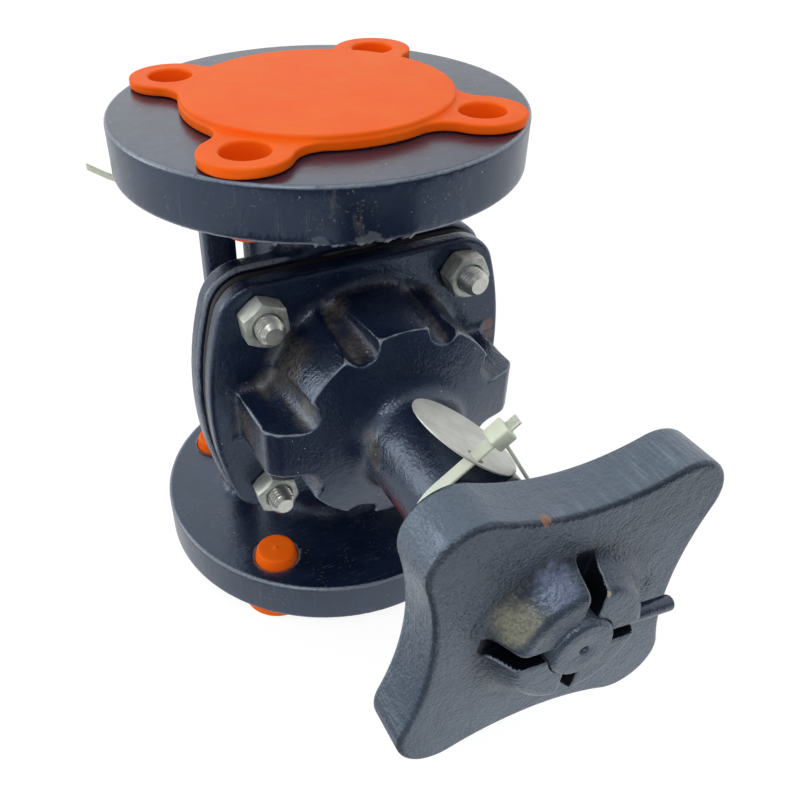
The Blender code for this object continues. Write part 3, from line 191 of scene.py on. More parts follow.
def add_camera():
    """The camera, a little above and to the left of the handwheel."""
    azimuth, elevation, roll = (math.radians(a) for a in (-24.06, 37.89, -0.59))
    back = Vector((math.sin(azimuth) * math.cos(elevation), -math.cos(azimuth) * math.cos(elevation),
                   math.sin(elevation)))
    level = Vector((math.cos(azimuth), math.sin(azimuth), 0))
    upright = back.cross(level)
    right = math.cos(roll) * level + math.sin(roll) * upright
    up = math.cos(roll) * upright - math.sin(roll) * level
    camera = bpy.data.cameras.new("camera")
    camera.sensor_width = 36
    camera.lens = 38.232
    camera.shift_x = 0.076875
    camera.shift_y = 0.014875
    camera.clip_start = 0.01
    obj = linked("camera", camera)
    turn = Matrix((right, up, back)).transposed().to_4x4()
    obj.matrix_world = Matrix.Translation((-0.1214, -0.2873, 0.3023)) @ turn
    bpy.context.scene.camera = obj


def add_lamp(name, place, target, size, brightness):
    """A soft rectangular lamp, as bright all over its face as white times `brightness`."""
    lamp = bpy.data.lights.new(name, "AREA")
    lamp.shape = "RECTANGLE"
    lamp.size, lamp.size_y = size
    lamp.energy = brightness * math.pi * size[0] * size[1]
    obj = linked(name, lamp)
    aim = (Vector(target) - Vector(place)).to_track_quat("-Z", "Y")
    obj.matrix_world = Matrix.Translation(place) @ aim.to_matrix().to_4x4()


def add_world():
    """White behind the object, with plain soft light from every side."""
    world = bpy.data.worlds.new("studio")
    graph = Graph(world)
    graph.tree.nodes.clear()
    rays = graph.node("ShaderNodeLightPath")
    direction = graph.node("ShaderNodeTexCoord").outputs["Generated"]
    split = graph.node("ShaderNodeSeparateXYZ", {"Vector": direction})
    # The open front of the room is dark, its back and sides are white
    room = graph.blend(graph.between(split.outputs["Y"], -0.75, -0.10), (0.15, 0.17, 0.21), (1.0, 1.0, 1.0))
    seen = graph.node("ShaderNodeBackground", {"Color": (1, 1, 1, 1), "Strength": 1.0})
    glossy = graph.node("ShaderNodeBackground", {"Color": room, "Strength": 1.0})
    ambient = graph.node("ShaderNodeBackground", {"Color": (0.95, 0.97, 1.0, 1), "Strength": 0.67})
    mirror = graph.math("MAXIMUM", rays.outputs["Is Glossy Ray"], rays.outputs["Is Transmission Ray"])
    bounced = graph.choose(mirror, ambient, glossy)
    shown = graph.choose(rays.outputs["Is Camera Ray"], bounced, seen)
    graph.node("ShaderNodeOutputWorld", {"Surface": shown.outputs[0]})
    bpy.context.scene.world = world


def add_floor():
    """A pale floor, nearly white to the eye, that keeps a soft shadow."""
    material = bpy.data.materials.new("pale_floor")
    graph = Graph(material)
    graph.tree.nodes.clear()
    rays = graph.node("ShaderNodeLightPath")
    plain = graph.node("ShaderNodeBsdfDiffuse", {"Color": (0.80, 0.80, 0.80, 1)})
    faint = graph.node("ShaderNodeBsdfDiffuse", {"Color": (0.16, 0.16, 0.16, 1)})
    white = graph.node("ShaderNodeEmission", {"Color": (1, 1, 1, 1), "Strength": 0.90})
    both = graph.node("ShaderNodeAddShader", {0: faint.outputs[0], 1: white.outputs[0]})
    # Mirrored in the paint, the floor is dark at the front left and far in front
    split = graph.node("ShaderNodeSeparateXYZ", {"Vector": graph.place()})
    away = graph.node("ShaderNodeVectorMath", {0: graph.place(), 1: (-0.19, -0.20, 0)}, operation="DISTANCE")
    lit = graph.math("MINIMUM", graph.between(split.outputs["Y"], -0.60, -0.40),
                     graph.between(away.outputs["Value"], 0.10, 0.20))
    tone = graph.blend(lit, (0.06, 0.06, 0.08), (0.85, 0.87, 0.90))
    mirrored = graph.node("ShaderNodeEmission", {"Color": tone, "Strength": 1.0})
    bounced = graph.choose(rays.outputs["Is Glossy Ray"], plain, mirrored)
    shown = graph.choose(rays.outputs["Is Camera Ray"], bounced, both)
    graph.node("ShaderNodeOutputMaterial", {"Surface": shown.outputs[0]})
    bm = bmesh.new()
    bmesh.ops.create_circle(bm, cap_ends=True, segments=64, radius=3.0)
    floor = make_object("floor", bm, material)


# Node graphs


class Graph:
    """Short calls for building a node tree."""

    def __init__(self, owner):
        owner.use_nodes = True
        self.owner = owner
        self.tree = owner.node_tree

    def node(self, kind, inputs=None, **settings):
        node = self.tree.nodes.new(kind)
        for name, value in settings.items():
            setattr(node, name, value)
        for name, value in (inputs or {}).items():
            self.feed(node.inputs[name], value)
        return node

    def choose(self, share, first, second):
        """A mix of two shaders."""
        return self.node("ShaderNodeMixShader", {0: share, 1: first.outputs[0], 2: second.outputs[0]})

    def feed(self, socket, value):
        if isinstance(value, bpy.types.NodeSocket):
            self.tree.links.new(value, socket)
        else:
            if socket.type == "RGBA" and len(value) == 3:
                value = (*value, 1.0)
            socket.default_value = value

    def math(self, operation, a, b=0.0, c=0.0, clamp=False):
        node = self.node("ShaderNodeMath", operation=operation, use_clamp=clamp)
        for socket, value in zip(node.inputs, (a, b, c)):
            self.feed(socket, value)
        return node.outputs[0]

    def times(self, a, b):
        return self.math("MULTIPLY", a, b)

    def scaled(self, value, spread, start):
        """A value times a spread, added to a start."""
        return self.math("MULTIPLY_ADD", value, spread, start)

    def blend(self, factor, a, b):
        node = self.node("ShaderNodeMix", data_type="RGBA", clamp_factor=True)
        for index, value in ((0, factor), (6, a), (7, b)):
            self.feed(node.inputs[index], value)
        return node.outputs[2]

    def between(self, value, low, high, to_low=0.0, to_high=1.0):
        """Map a value from one range to another, smoothly and clamped."""
        node = self.node("ShaderNodeMapRange", interpolation_type="SMOOTHSTEP")
        for index, item in enumerate((value, low, high, to_low, to_high)):
            self.feed(node.inputs[index], item)
        return node.outputs[0]

    def place(self, stretch=(1, 1, 1)):
        coords = self.node("ShaderNodeTexCoord").outputs["Object"]
        if stretch == (1, 1, 1):
            return coords
        return self.node("ShaderNodeMapping", {"Vector": coords, "Scale": stretch}).outputs[0]

    def noise(self, scale, detail=2.0, roughness=0.5, vector=None):
        """Noise about `scale` metres across."""
        inputs = {"Vector": vector or self.place(), "Scale": 1 / scale, "Detail": detail,
                  "Roughness": roughness}
        return self.node("ShaderNodeTexNoise", inputs).outputs["Fac"]

    def cells(self, scale, output="Distance"):
        inputs = {"Vector": self.place(), "Scale": 1 / scale}
        return self.node("ShaderNodeTexVoronoi", inputs).outputs[output]

    def attribute(self, name):
        return self.node("ShaderNodeAttribute", attribute_name=name).outputs["Fac"]

    def spot(self, centre, radius, soft=False):
        """A patch round a point, with a ragged edge or one that fades out."""
        grain, swing, inner = (0.4, 0.8, 0.35) if soft else (0.7, 1.4, 0.75)
        away = self.node("ShaderNodeVectorMath", {0: self.place(), 1: centre}, operation="DISTANCE")
        wobble = self.scaled(self.noise(radius * grain, 3.0, 0.6), radius * swing, -radius * swing / 2)
        far = self.math("ADD", away.outputs["Value"], wobble)
        return self.between(far, radius * inner, radius, 1.0, 0.0)

    def bump(self, height, distance, strength=1.0, normal=None):
        inputs = {"Height": height, "Distance": distance, "Strength": strength}
        if normal is not None:
            inputs["Normal"] = normal
        return self.node("ShaderNodeBump", inputs).outputs[0]

    def finish(self, color, roughness, normal):
        """Join colour, roughness and relief to the shader, and hand over the material."""
        for name, value in (("Base Color", color), ("Roughness", roughness), ("Normal", normal)):
            self.feed(self.tree.nodes["Principled BSDF"].inputs[name], value)
        return self.owner


def new_graph(name, **fixed):
    """A material's graph; the named sockets of its shader hold plain values."""
    graph = Graph(bpy.data.materials.new(name))
    for socket, value in fixed.items():
        graph.feed(graph.tree.nodes["Principled BSDF"].inputs[socket.replace("_", " ")], value)
    return graph


def two_tone(name, tones, grain, uneven, spread, roughness, relief, height, **fixed):
    """A finish of two mingled tones, with uneven gloss and a fine relief."""
    g = new_graph(name, **fixed)
    sheen = g.scaled(g.noise(*uneven), spread, roughness)
    return g.finish(g.blend(g.noise(*grain), *tones), sheen, g.bump(g.noise(*relief), height))


def enamel(name, base, light, gloss, roughness, grain, wave, crest_wear_and_highlight, dusty, deep_dull, extra):
    """Semi-gloss enamel over a sand casting: grainy, dusty in its hollows, and lighter at its crests, partly
    worn and partly a painted edge highlight.
    """
    g = new_graph(name, Specular_IOR_Level=gloss, Specular_Tint=(0.66, 0.80, 1.0))
    tone = g.noise(0.018, 3.0, 0.55)
    color = g.blend(g.between(tone, 0.35, 0.70), base, light)
    hollow = g.attribute("hollow")
    grit = g.noise(0.0016, 4.0, 0.65)
    patches = g.between(g.noise(0.011, 3.0, 0.6), 0.40, 0.62)
    settled = g.math("ADD", g.between(hollow, 0.10, 0.60), g.attribute("deep"), clamp=True)
    dust = g.times(settled, g.between(grit, 0.36, 0.62, 0.35, 1.0))
    dust = g.times(dust, g.scaled(patches, 0.52 * dusty, 0.27 * dusty))
    color = g.blend(dust, color, (0.190, 0.172, 0.132))
    # Crests are painted lighter: partly worn paint, partly a painted edge highlight.
    crest = g.times(g.between(g.attribute("crest"), 0.62, 0.98), g.between(grit, 0.20, 0.50))
    color = g.blend(g.times(crest, crest_wear_and_highlight), color, (0.42, 0.47, 0.52))
    specks = g.between(g.cells(0.0042), 0.045, 0.075, 1.0, 0.0)
    chosen = g.between(g.cells(0.0042, output="Color"), 0.66, 0.70)
    color = g.blend(g.times(specks, chosen), color, (0.45, 0.44, 0.40))
    color = extra(g, color)
    sheen = g.scaled(g.noise(0.006, 3.0, 0.6), 0.16, roughness - 0.08)
    dull = g.between(g.attribute("deep"), 0.92, 1.0, 0.0, deep_dull)
    sheen = g.math("ADD", sheen, g.math("MAXIMUM", g.times(dust, 0.30), dull), clamp=True)
    rough = g.times(g.between(g.noise(0.016), 0.30, 0.70, 0.55, 1.0), cast_share(g))
    coarse = g.bump(g.times(g.noise(wave, 2.0, 0.5), cast_share(g)), 0.04 * grain * wave)
    fine = g.bump(g.times(g.noise(0.0012, 2.0, 0.6), rough), 0.00020 * grain, 1.0, coarse)
    return g.finish(color, sheen, g.bump(g.times(grit, rough), 0.00004 * grain, 1.0, fine))


def cast_share(g):
    """1 on cast surfaces, and low on the pipe flanges, which are turned smooth."""
    height = g.node("ShaderNodeSeparateXYZ", {"Vector": g.place()}).outputs["Z"]
    middle = g.math("ABSOLUTE", g.math("SUBTRACT", height, AXIS_HEIGHT))
    flange_back = FACE_TO_FACE / 2 - FLANGE_THICKNESS
    return g.between(middle, flange_back - 0.001, flange_back, 1.0, 0.22)


def marked(g, color, marks):
    """Small ragged patches of another colour, each with a centre, a radius and a strength."""
    for centre, radius, tint, strength in marks:
        color = g.blend(g.times(g.spot(centre, radius), strength), color, tint)
    return color


RUST = (0.22, 0.075, 0.022)
PRIMER = (0.11, 0.014, 0.013)
SCUFF = (0.20, 0.21, 0.22)
DIRT = (0.19, 0.17, 0.12)


def body_marks(g, color):
    """Rust, red primer, dust and scuffs at their places on the body and the bonnet."""
    flange = g.math("SUBTRACT", 1.0, cast_share(g))
    scratches = g.noise(0.010, 4.0, 0.75, g.place((1.0, 7.0, 0.4)))
    streaks = g.times(g.between(scratches, 0.56, 0.72), flange)
    color = g.blend(g.times(streaks, 0.60), color, (0.11, 0.11, 0.11))
    flecks = g.between(g.noise(0.0011, 2.0, 0.6), 0.62, 0.70)
    flecks = g.times(flecks, g.between(g.noise(0.013), 0.48, 0.62))
    color = g.blend(g.times(g.times(flecks, flange), 0.65), color, (0.22, 0.19, 0.14))
    dusty_places = (((-0.0345, -0.0500, 0.1285), 0.0140, 0.42), ((-0.0400, -0.0435, 0.1160), 0.0080, 0.30),
                    ((-0.0348, -0.0660, 0.1180), 0.0075, 0.40), ((-0.0519, -0.0480, 0.1030), 0.0100, 0.50),
                    ((-0.0178, -0.0837, 0.1122), 0.0060, 0.40), ((-0.0128, -0.0446, 0.1430), 0.0060, 0.35))
    for centre, radius, strength in dusty_places:
        speckle = g.between(g.noise(0.0014, 3.0, 0.6), 0.36, 0.60, 0.3, 1.0)
        patch = g.times(g.spot(centre, radius, True), speckle)
        color = g.blend(g.times(patch, strength), color, (0.185, 0.160, 0.105))
    return marked(g, color, (
        ((0.0573, -0.0392, 0.1140), 0.0030, RUST, 0.75),
        ((0.0588, -0.0385, 0.1095), 0.0022, RUST, 0.55),
        ((-0.0455, -0.0300, 0.0450), 0.0080, PRIMER, 0.60),
        ((-0.0180, -0.1080, 0.0975), 0.0070, PRIMER, 0.55),
        ((-0.0216, -0.0890, 0.1079), 0.0060, DIRT, 0.30),
        ((-0.0460, -0.0390, 0.0671), 0.0022, SCUFF, 0.45),
        ((-0.0264, -0.0390, 0.0454), 0.0026, SCUFF, 0.45),
        ((-0.0300, -0.0700, 0.1831), 0.0034, SCUFF, 0.30),
        ((-0.0153, -0.0746, 0.1831), 0.0046, SCUFF, 0.35),
    ))


def wheel_marks(g, color):
    """A chalky film on the faces that also carries painted light and shade, lighter drawn lines on the rim's
    sides, a chip, and painted highlights on the hub.
    """
    coords = g.node("ShaderNodeTexCoord")
    height = g.node("ShaderNodeSeparateXYZ", {"Vector": coords.outputs["Object"]}).outputs["Z"]
    facing = g.node("ShaderNodeSeparateXYZ", {"Vector": coords.outputs["Normal"]}).outputs["Y"]
    edges = g.math("MAXIMUM", g.attribute("crest"), g.times(g.attribute("hollow"), 0.8))
    # The film is kept off the slots, the hub's upper left foot, the edges and the hollows, which leaves
    # painted shade there.
    film_and_painted_light = g.math("SUBTRACT", 1.0, g.attribute("deep"))
    film_and_painted_light = g.times(g.between(edges, 0.50, 0.95, 1.0, 0.0), film_and_painted_light)
    # Painted light: the film is stronger low on the wheel, as a painted reflection of the floor, and on the
    # rim's side faces.
    painted_light_share = g.between(height, 0.045, 0.160, 1.0, 0.30)
    cloud = g.between(g.noise(0.020, 3.0, 0.6), 0.25, 0.75, 0.70, 1.0)
    side = g.between(g.math("ABSOLUTE", facing), 0.20, 0.50, 1.0, 0.0)
    painted_light_share = g.math("MAXIMUM", g.times(painted_light_share, cloud), g.times(side, 0.90))
    color = g.blend(g.times(film_and_painted_light, painted_light_share), color, (0.080, 0.105, 0.138))
    # Drawn marks on the rim's side faces, painted lighter and bluish as a streaky highlight.
    lines = g.between(g.noise(0.0013, 3.0, 0.7, g.place((1.0, 0.05, 1.0))), 0.46, 0.70)
    drawn_lines_and_highlight = g.times(g.times(side, lines), g.between(g.noise(0.022), 0.42, 0.60))
    color = g.blend(g.times(drawn_lines_and_highlight, 0.50), color, (0.24, 0.28, 0.34))
    # Painted highlights on the hub's upper left lobe: a cream reflection and a blue-white one.
    hub_painted_highlights = (((-0.0190, -0.1755, 0.1165), 0.0100, (0.36, 0.34, 0.20), 0.66),
                   ((-0.0080, -0.1755, 0.1275), 0.0085, (0.24, 0.28, 0.42), 0.60))
    for centre, radius, tint, strength in hub_painted_highlights:
        patch = g.times(g.spot(centre, radius, True), g.between(edges, 0.15, 0.45, 1.0, 0.0))
        patch = g.times(patch, g.between(g.noise(0.0011, 3.0, 0.6), 0.30, 0.62, 0.45, 1.0))
        color = g.blend(g.times(patch, strength), color, tint)
    return marked(g, color, (
        ((-0.0117, -0.1695, 0.1488), 0.0021, (0.26, 0.11, 0.05), 0.90),
        ((0.0052, -0.1802, 0.1230), 0.0011, (0.42, 0.39, 0.25), 0.85),
    ))


def zinc(name):
    """Dull hot-dip zinc, faintly green, made lighter where a crest mark is stored, which the nuts don't
    carry.
    """
    g = new_graph(name, Metallic=0.65)
    color = g.blend(g.between(g.noise(0.0040, 3.0, 0.6), 0.3, 0.7), (0.42, 0.45, 0.40), (0.64, 0.67, 0.61))
    worn = g.between(g.attribute("crest"), 0.30, 0.80)
    color = g.blend(g.times(worn, 0.7), color, (0.88, 0.90, 0.85))
    sheen = g.scaled(g.noise(0.0012, 3.0, 0.6), 0.24, 0.34)
    return g.finish(color, sheen, g.bump(g.noise(0.0009, 3.0, 0.6), 0.00005))


def orange_plastic(name):
    """Satin moulded polyethylene that lets a little light in."""
    g = new_graph(name, Subsurface_Weight=0.10, Subsurface_Radius=(0.004, 0.0012, 0.0004),
                  Subsurface_Scale=1.0, Specular_IOR_Level=0.08)
    tone = g.between(g.noise(0.020, 3.0, 0.6), 0.3, 0.7)
    sheen = g.scaled(g.noise(0.004, 3.0), 0.16, 0.36)
    relief = g.bump(g.noise(0.0008, 2.0), 0.00002, 1.0, g.bump(g.noise(0.012, 2.0), 0.00018))
    return g.finish(g.blend(tone, (1.0, 0.122, 0.003), (1.0, 0.150, 0.006)), sheen, relief)


def tag_steel(name):
    """Pale stamped steel with faint scratches."""
    g = new_graph(name, Metallic=0.35)
    color = g.blend(g.between(g.noise(0.009, 3.0, 0.6), 0.3, 0.7), (0.60, 0.61, 0.55), (0.74, 0.75, 0.69))
    lines = g.noise(0.004, 4.0, 0.7, g.place((0.15, 1.0, 9.0)))
    color = g.blend(g.times(g.between(lines, 0.55, 0.75), 0.25), color, (0.34, 0.33, 0.31))
    return g.finish(color, g.scaled(lines, 0.25, 0.28), g.bump(lines, 0.00004))


def dark_metal(name, base, light, roughness, metallic):
    return two_tone(name, (base, light), (0.003, 4.0, 0.6), (0.002, 3.0), 0.2, roughness, (0.0010, 3.0),
                    0.00004, Metallic=metallic)


def inner_finishes():
    """The finishes of the rubber parts and of the metal parts inside."""
    return {
        "rubber": two_tone("rubber_finish", ((0.010, 0.010, 0.011), (0.024, 0.023, 0.022)), (0.006, 3.0),
                           (0.003, 2.0), 0.2, 0.60, (0.0012, 3.0), 0.00006),
        "steel": dark_metal("steel_finish", (0.30, 0.30, 0.31), (0.48, 0.48, 0.49), 0.25, 1.0),
        "iron": dark_metal("iron_finish", (0.11, 0.11, 0.12), (0.19, 0.19, 0.20), 0.45, 0.8),
        "bronze": dark_metal("bronze_finish", (0.34, 0.22, 0.10), (0.50, 0.34, 0.17), 0.28, 1.0),
    }


# Distance fields: negative inside a shape, positive outside


def soft_min(a, b, reach):
    """Join two shapes with a fillet."""
    near = maximum(reach - np.abs(a - b), 0) / reach
    return minimum(a, b) - near * near * reach / 4


def soft_max(a, b, reach):
    """Cut or cross two shapes with a rounded edge."""
    return -soft_min(-a, -b, reach)


def slab(outline, across, edge_round):
    """An outline's distance and a slab's distance made into a plate with rounded edges."""
    a, b = outline + edge_round, across + edge_round
    return minimum(maximum(a, b), 0) + hypot(maximum(a, 0), maximum(b, 0)) - edge_round


def between_planes(value, low, high):
    return np.abs(value - (low + high) / 2) - (high - low) / 2


def plate_distance(x, y):
    """The bonnet plate's outline: flat ends, bulged sides and round corners."""
    x, y = np.abs(x), np.abs(y)
    corner = PLATE_CORNER_RADIUS
    side_centre = PLATE_HALF_WIDTH - PLATE_SIDE_ARC_RADIUS
    corner_y = PLATE_HALF_HEIGHT - corner
    corner_x = side_centre + math.sqrt((PLATE_SIDE_ARC_RADIUS - corner) ** 2 - corner_y ** 2)
    meet = math.atan2(corner_y, corner_x - side_centre)
    turn = np.arctan2(y - corner_y, x - corner_x)
    to_corner = hypot(x - corner_x, y - corner_y) - corner
    to_side = hypot(x - side_centre, y) - PLATE_SIDE_ARC_RADIUS
    straight = maximum(to_side, y - PLATE_HALF_HEIGHT)
    return np.where((turn > meet) & (turn < math.pi / 2), to_corner, straight)


def wheel_distance(x, y):
    """The handwheel's outline: four round corners joined by hollow sides."""
    corner = WHEEL_CORNER_RADIUS
    place = WHEEL_CORNER_REACH - corner
    waist = WHEEL_WAIST_REACH
    half_step = math.pi / 4
    lean = place * math.cos(half_step)
    hollow = (place ** 2 + waist ** 2 - 2 * lean * waist - corner ** 2) / (2 * (corner - waist + lean))
    centre_x = (waist + hollow) * math.cos(half_step)
    centre_y = (waist + hollow) * math.sin(half_step)
    radius = hypot(x, y)
    turn = np.arctan2(y, x) - WHEEL_CORNER_ANGLE + half_step
    turn = np.abs(turn % (2 * half_step) - half_step)
    u, v = radius * np.cos(turn), radius * np.sin(turn)
    near_corner = np.arctan2(v, u - place) < math.atan2(centre_y, centre_x - place)
    waists = hollow - hypot(u - centre_x, v - centre_y)
    return np.where(near_corner, hypot(u - place, v) - corner, waists)


def cover_distance(x, y):
    """A cover's outline: a disc, a lug at each bolt hole and hollow webs between."""
    web = COVER_WEB_RADIUS
    to_web = COVER_DISC_RADIUS + web
    to_lug = COVER_LUG_RADIUS + web
    reach = BOLT_CIRCLE_RADIUS
    away = math.acos((to_web ** 2 + reach ** 2 - to_lug ** 2) / (2 * to_web * reach))
    web_x, web_y = to_web * math.cos(away), to_web * math.sin(away)
    radius = hypot(x, y)
    turn = np.abs(np.arctan2(y, x) % (math.pi / 2) - math.pi / 4)
    u, v = radius * np.cos(turn), radius * np.sin(turn)
    # Past the line from the lug's centre to the web's centre lies the lug's own round end
    past_lug = (web_x - reach) * v - web_y * (u - reach) < 0
    webs = web - hypot(u - web_x, v - web_y)
    shape = np.where(past_lug, hypot(u - reach, v) - COVER_LUG_RADIUS, webs)
    return np.where(turn > away, radius - COVER_DISC_RADIUS, shape)


def body_field(x, y, z):
    """The body casting with both pipe flanges."""
    up, out = z - AXIS_HEIGHT, -y
    radius = hypot(x, y)
    ends = np.abs(up) - FACE_TO_FACE / 2 + FLANGE_THICKNESS / 2
    neck = maximum(radius - NECK_RADIUS, ends)
    across = hypot(x, up)
    lean = (BOWL_MOUTH - 0.030) / 0.030
    cone = (across - BOWL_MOUTH + maximum(BODY_FLANGE_REAR - out, 0) * lean) / math.hypot(1, lean)
    bowl = soft_max(cone, between_planes(out, -BORE_RADIUS, BODY_FACE - 0.004), 0.006)
    solid = soft_min(neck, bowl, 0.010)
    solid = soft_min(solid, side_ribs(x, y, up, ends), 0.007)
    beside = maximum(np.abs(x) - PLATE_HALF_WIDTH, np.abs(up) - PLATE_HALF_HEIGHT - SEAT_GAP)
    in_front = maximum(beside - BODY_FLANGE_MARGIN, BODY_FACE - out)
    solid = soft_max(solid, -in_front, 0.0015)
    plate = plate_distance(x, up) - BODY_FLANGE_MARGIN
    plate = slab(plate, between_planes(out, BODY_FLANGE_REAR, BODY_FACE), 0.0014)
    solid = soft_min(solid, plate, 0.006)
    for low in (FLANGE_BOTTOM, FLANGE_TOP - FLANGE_THICKNESS):
        disc = slab(radius - FLANGE_RADIUS, between_planes(z, low, low + FLANGE_THICKNESS), FLANGE_EDGE_ROUND)
        solid = soft_min(solid, disc, 0.008)
    solid = soft_min(solid, paint_lip(x, y, z, radius), 0.0012)
    bolt = BOLT_CIRCLE_RADIUS / math.sqrt(2)
    hole = BOLT_HOLE_RADIUS - 0.0001 - hypot(np.abs(x) - bolt, np.abs(y) - bolt)
    solid = soft_max(solid, hole, 0.0002)
    solid = maximum(solid, minimum(in_stud_holes(x, up), out - BODY_FLANGE_REAR + 0.003))
    return maximum(solid, -flow_field(x, out, up, radius))


def side_ribs(x, y, up, ends):
    """A rib at each side from flange to flange, joined to the neck by a web at half height."""
    side = np.abs(np.abs(x) - RIB_OFFSET) - RIB_HALF_WIDTH + RIB_EDGE_ROUND
    depth = np.abs(y - RIB_SETBACK) - RIB_HALF_DEPTH
    rib = hypot(maximum(side, 0), maximum(depth + RIB_EDGE_ROUND, 0)) - RIB_EDGE_ROUND
    web = maximum(np.abs(x) - RIB_OFFSET, depth + RIB_HALF_DEPTH / 2)
    web = maximum(web, np.abs(up) - RIB_WEB_HALF_HEIGHT)
    return soft_min(maximum(rib, ends), web, 0.006)


def paint_lip(x, y, z, radius):
    """Ragged drips along the front of the upper flange's lower edge."""
    ragged = 0.00035 * np.sin(x * 830) + 0.00020 * np.sin(x * 2310 + 1) + 0.00012 * np.sin(x * 5170 + z * 900)
    lip = hypot(radius - 0.0744, z - FLANGE_TOP + FLANGE_THICKNESS) - 0.0010 + ragged
    return maximum(maximum(lip, np.abs(x + 0.0160) - 0.0150), y)


def in_stud_holes(x, up):
    """Positive inside the four stud holes."""
    return STUD_HOLE_RADIUS - hypot(np.abs(x) - BOLT_HALF_SPACING_X, np.abs(up) - BOLT_HALF_SPACING_Y)


def flow_field(x, out, up, radius):
    """The bore and the bowl, less the weir across their middle."""
    bowl = maximum(hypot(x, up) - SEAT_MOUTH_RADIUS, 0.004 - out)
    room = minimum(radius - BORE_RADIUS, bowl)
    wall = np.abs(up) - 0.0045 - (WEIR_CREST - minimum(out, WEIR_CREST)) * 0.35
    crest = maximum(wall, out - WEIR_CREST)
    return soft_max(room, -crest, 0.003)


def dome_field(x, up, out, radius):
    """The dome before its pockets are cut, with a lobe at each side."""
    lean = (DOME_RADIUS - DOME_SHOULDER_RADIUS) / (DOME_SHOULDER - BONNET_FRONT)
    side = radius - DOME_RADIUS + lean * (out - BONNET_FRONT)
    roof_run = DOME_SHOULDER_RADIUS - BONNET_NECK_RADIUS - 0.004
    roof_rise = NECK_START - 0.002 - DOME_SHOULDER
    roof = ((out - DOME_SHOULDER) * roof_run + (radius - DOME_SHOULDER_RADIUS) * roof_rise) / math.hypot(
        roof_run, roof_rise)
    lobe_side = maximum(np.abs(up) - SIDE_LOBE_WIDTH / 2,
                        np.abs(x) - SIDE_LOBE_RADIUS - (DOME_SHOULDER - out) * 0.03)
    drop = SIDE_LOBE_DROP
    slant = ((np.abs(x) - SIDE_LOBE_RADIUS + drop / 2) * drop + (out - DOME_SHOULDER + drop / 2) * drop) / (
        drop * math.sqrt(2))
    lobe = soft_max(lobe_side, slant, 0.0012)
    return soft_max(soft_min(side, lobe, 0.003), roof, 0.0006)


def bonnet_field(x, y, z):
    """The bonnet: bolted plate, lobed dome and long neck."""
    up, out = z - AXIS_HEIGHT, -y
    radius = hypot(x, up)
    plate = slab(plate_distance(x, up), between_planes(out, BONNET_REAR, BONNET_FRONT), 0.0019)
    dome = dome_field(x, up, out, radius)
    turn = np.arctan2(up, x) % (2 * math.pi / LOBE_COUNT) - math.pi / LOBE_COUNT
    along, aside = radius * np.cos(turn), np.abs(radius * np.sin(turn))
    top, foot = NECK_START, BONNET_FRONT
    floor = POCKET_FOOT_RADIUS + (POCKET_FLOOR_RADIUS - POCKET_FOOT_RADIUS) * (out - foot) / (top - foot)
    flare = maximum(along - floor - 0.002, 0) * 0.30
    pocket = soft_max(aside - POCKET_WIDTH / 2 - flare, floor - along, 0.0055)
    dome = soft_max(dome, -pocket, 0.0008)
    dome = maximum(dome, BONNET_REAR + 0.004 - out)
    neck = slab(radius - BONNET_NECK_RADIUS, between_planes(out, DOME_SHOULDER - 0.02, NECK_END), 0.0012)
    solid = soft_min(soft_min(plate, dome, 0.0045), neck, 0.0070)
    solid = maximum(solid, in_stud_holes(x, up))
    # Inside: a flared mouth, a sloping roof, then the stepped bore of the neck
    flare = radius - CAVITY_RADIUS - 0.08 * (CAVITY_SHOULDER - out)
    slope = (radius - CAVITY_RADIUS) * 0.792 + (out - CAVITY_SHOULDER) * 0.611
    cavity = maximum(maximum(flare, slope), out - CAVITY_ROOF)
    cavity = minimum(cavity, radius - GUIDE_RADIUS)
    cavity = minimum(cavity, maximum(radius - BUSHING_BORE_RADIUS, BUSHING_BORE_BOTTOM - out))
    cavity = minimum(cavity, maximum(radius - COUNTERBORE_RADIUS, COUNTERBORE_FLOOR - out))
    return maximum(solid, -cavity)


def wheel_field(x, y, z):
    """The hollow-backed handwheel and its slotted cone hub."""
    up, out = z - AXIS_HEIGHT, -y
    radius = hypot(x, up)
    outline = wheel_distance(x, up)
    solid = slab(outline, between_planes(out, WHEEL_REAR, WHEEL_FRONT), WHEEL_EDGE_ROUND)
    inside = soft_max(outline + WHEEL_RIM_WALL, out - WHEEL_FRONT + WHEEL_FACE_THICKNESS, 0.004)
    solid = soft_max(solid, -inside, 0.0015)
    boss = maximum(radius - BOSS_RADIUS, between_planes(out, BOSS_REAR, WHEEL_FRONT - 0.003))
    solid = soft_min(solid, boss, 0.004)
    rise = HUB_TOP - WHEEL_FRONT
    lean = (HUB_BASE_RADIUS - HUB_TOP_RADIUS) / rise
    cone = (radius - HUB_BASE_RADIUS + (out - WHEEL_FRONT) * lean) / math.hypot(1, lean)
    cone = maximum(cone, WHEEL_FRONT - 0.004 - out)
    cone = soft_max(cone, out - HUB_TOP, 0.0020)
    solid = soft_min(solid, cone, 0.0040)
    solid = soft_max(solid, -slot_field(x, up, out, radius), 0.0006)
    return maximum(solid, SPINDLE_RADIUS + SEAT_GAP - radius)


def slot_field(x, up, out, radius):
    """The hub's crossed slots, a little wider at their outer ends."""
    c, s = math.cos(HUB_SLOT_ANGLE), math.sin(HUB_SLOT_ANGLE)
    along, aside = x * c + up * s, up * c - x * s
    flare = PIN_RADIUS + SEAT_GAP + maximum(radius - HUB_TOP_RADIUS, 0) * 0.10
    cross = minimum(np.abs(along), np.abs(aside)) - flare
    slots = soft_max(cross, WHEEL_FRONT + 0.0003 - out, 0.0012)
    return soft_max(slots, radius - HUB_BASE_RADIUS - 0.0040, 0.0012)


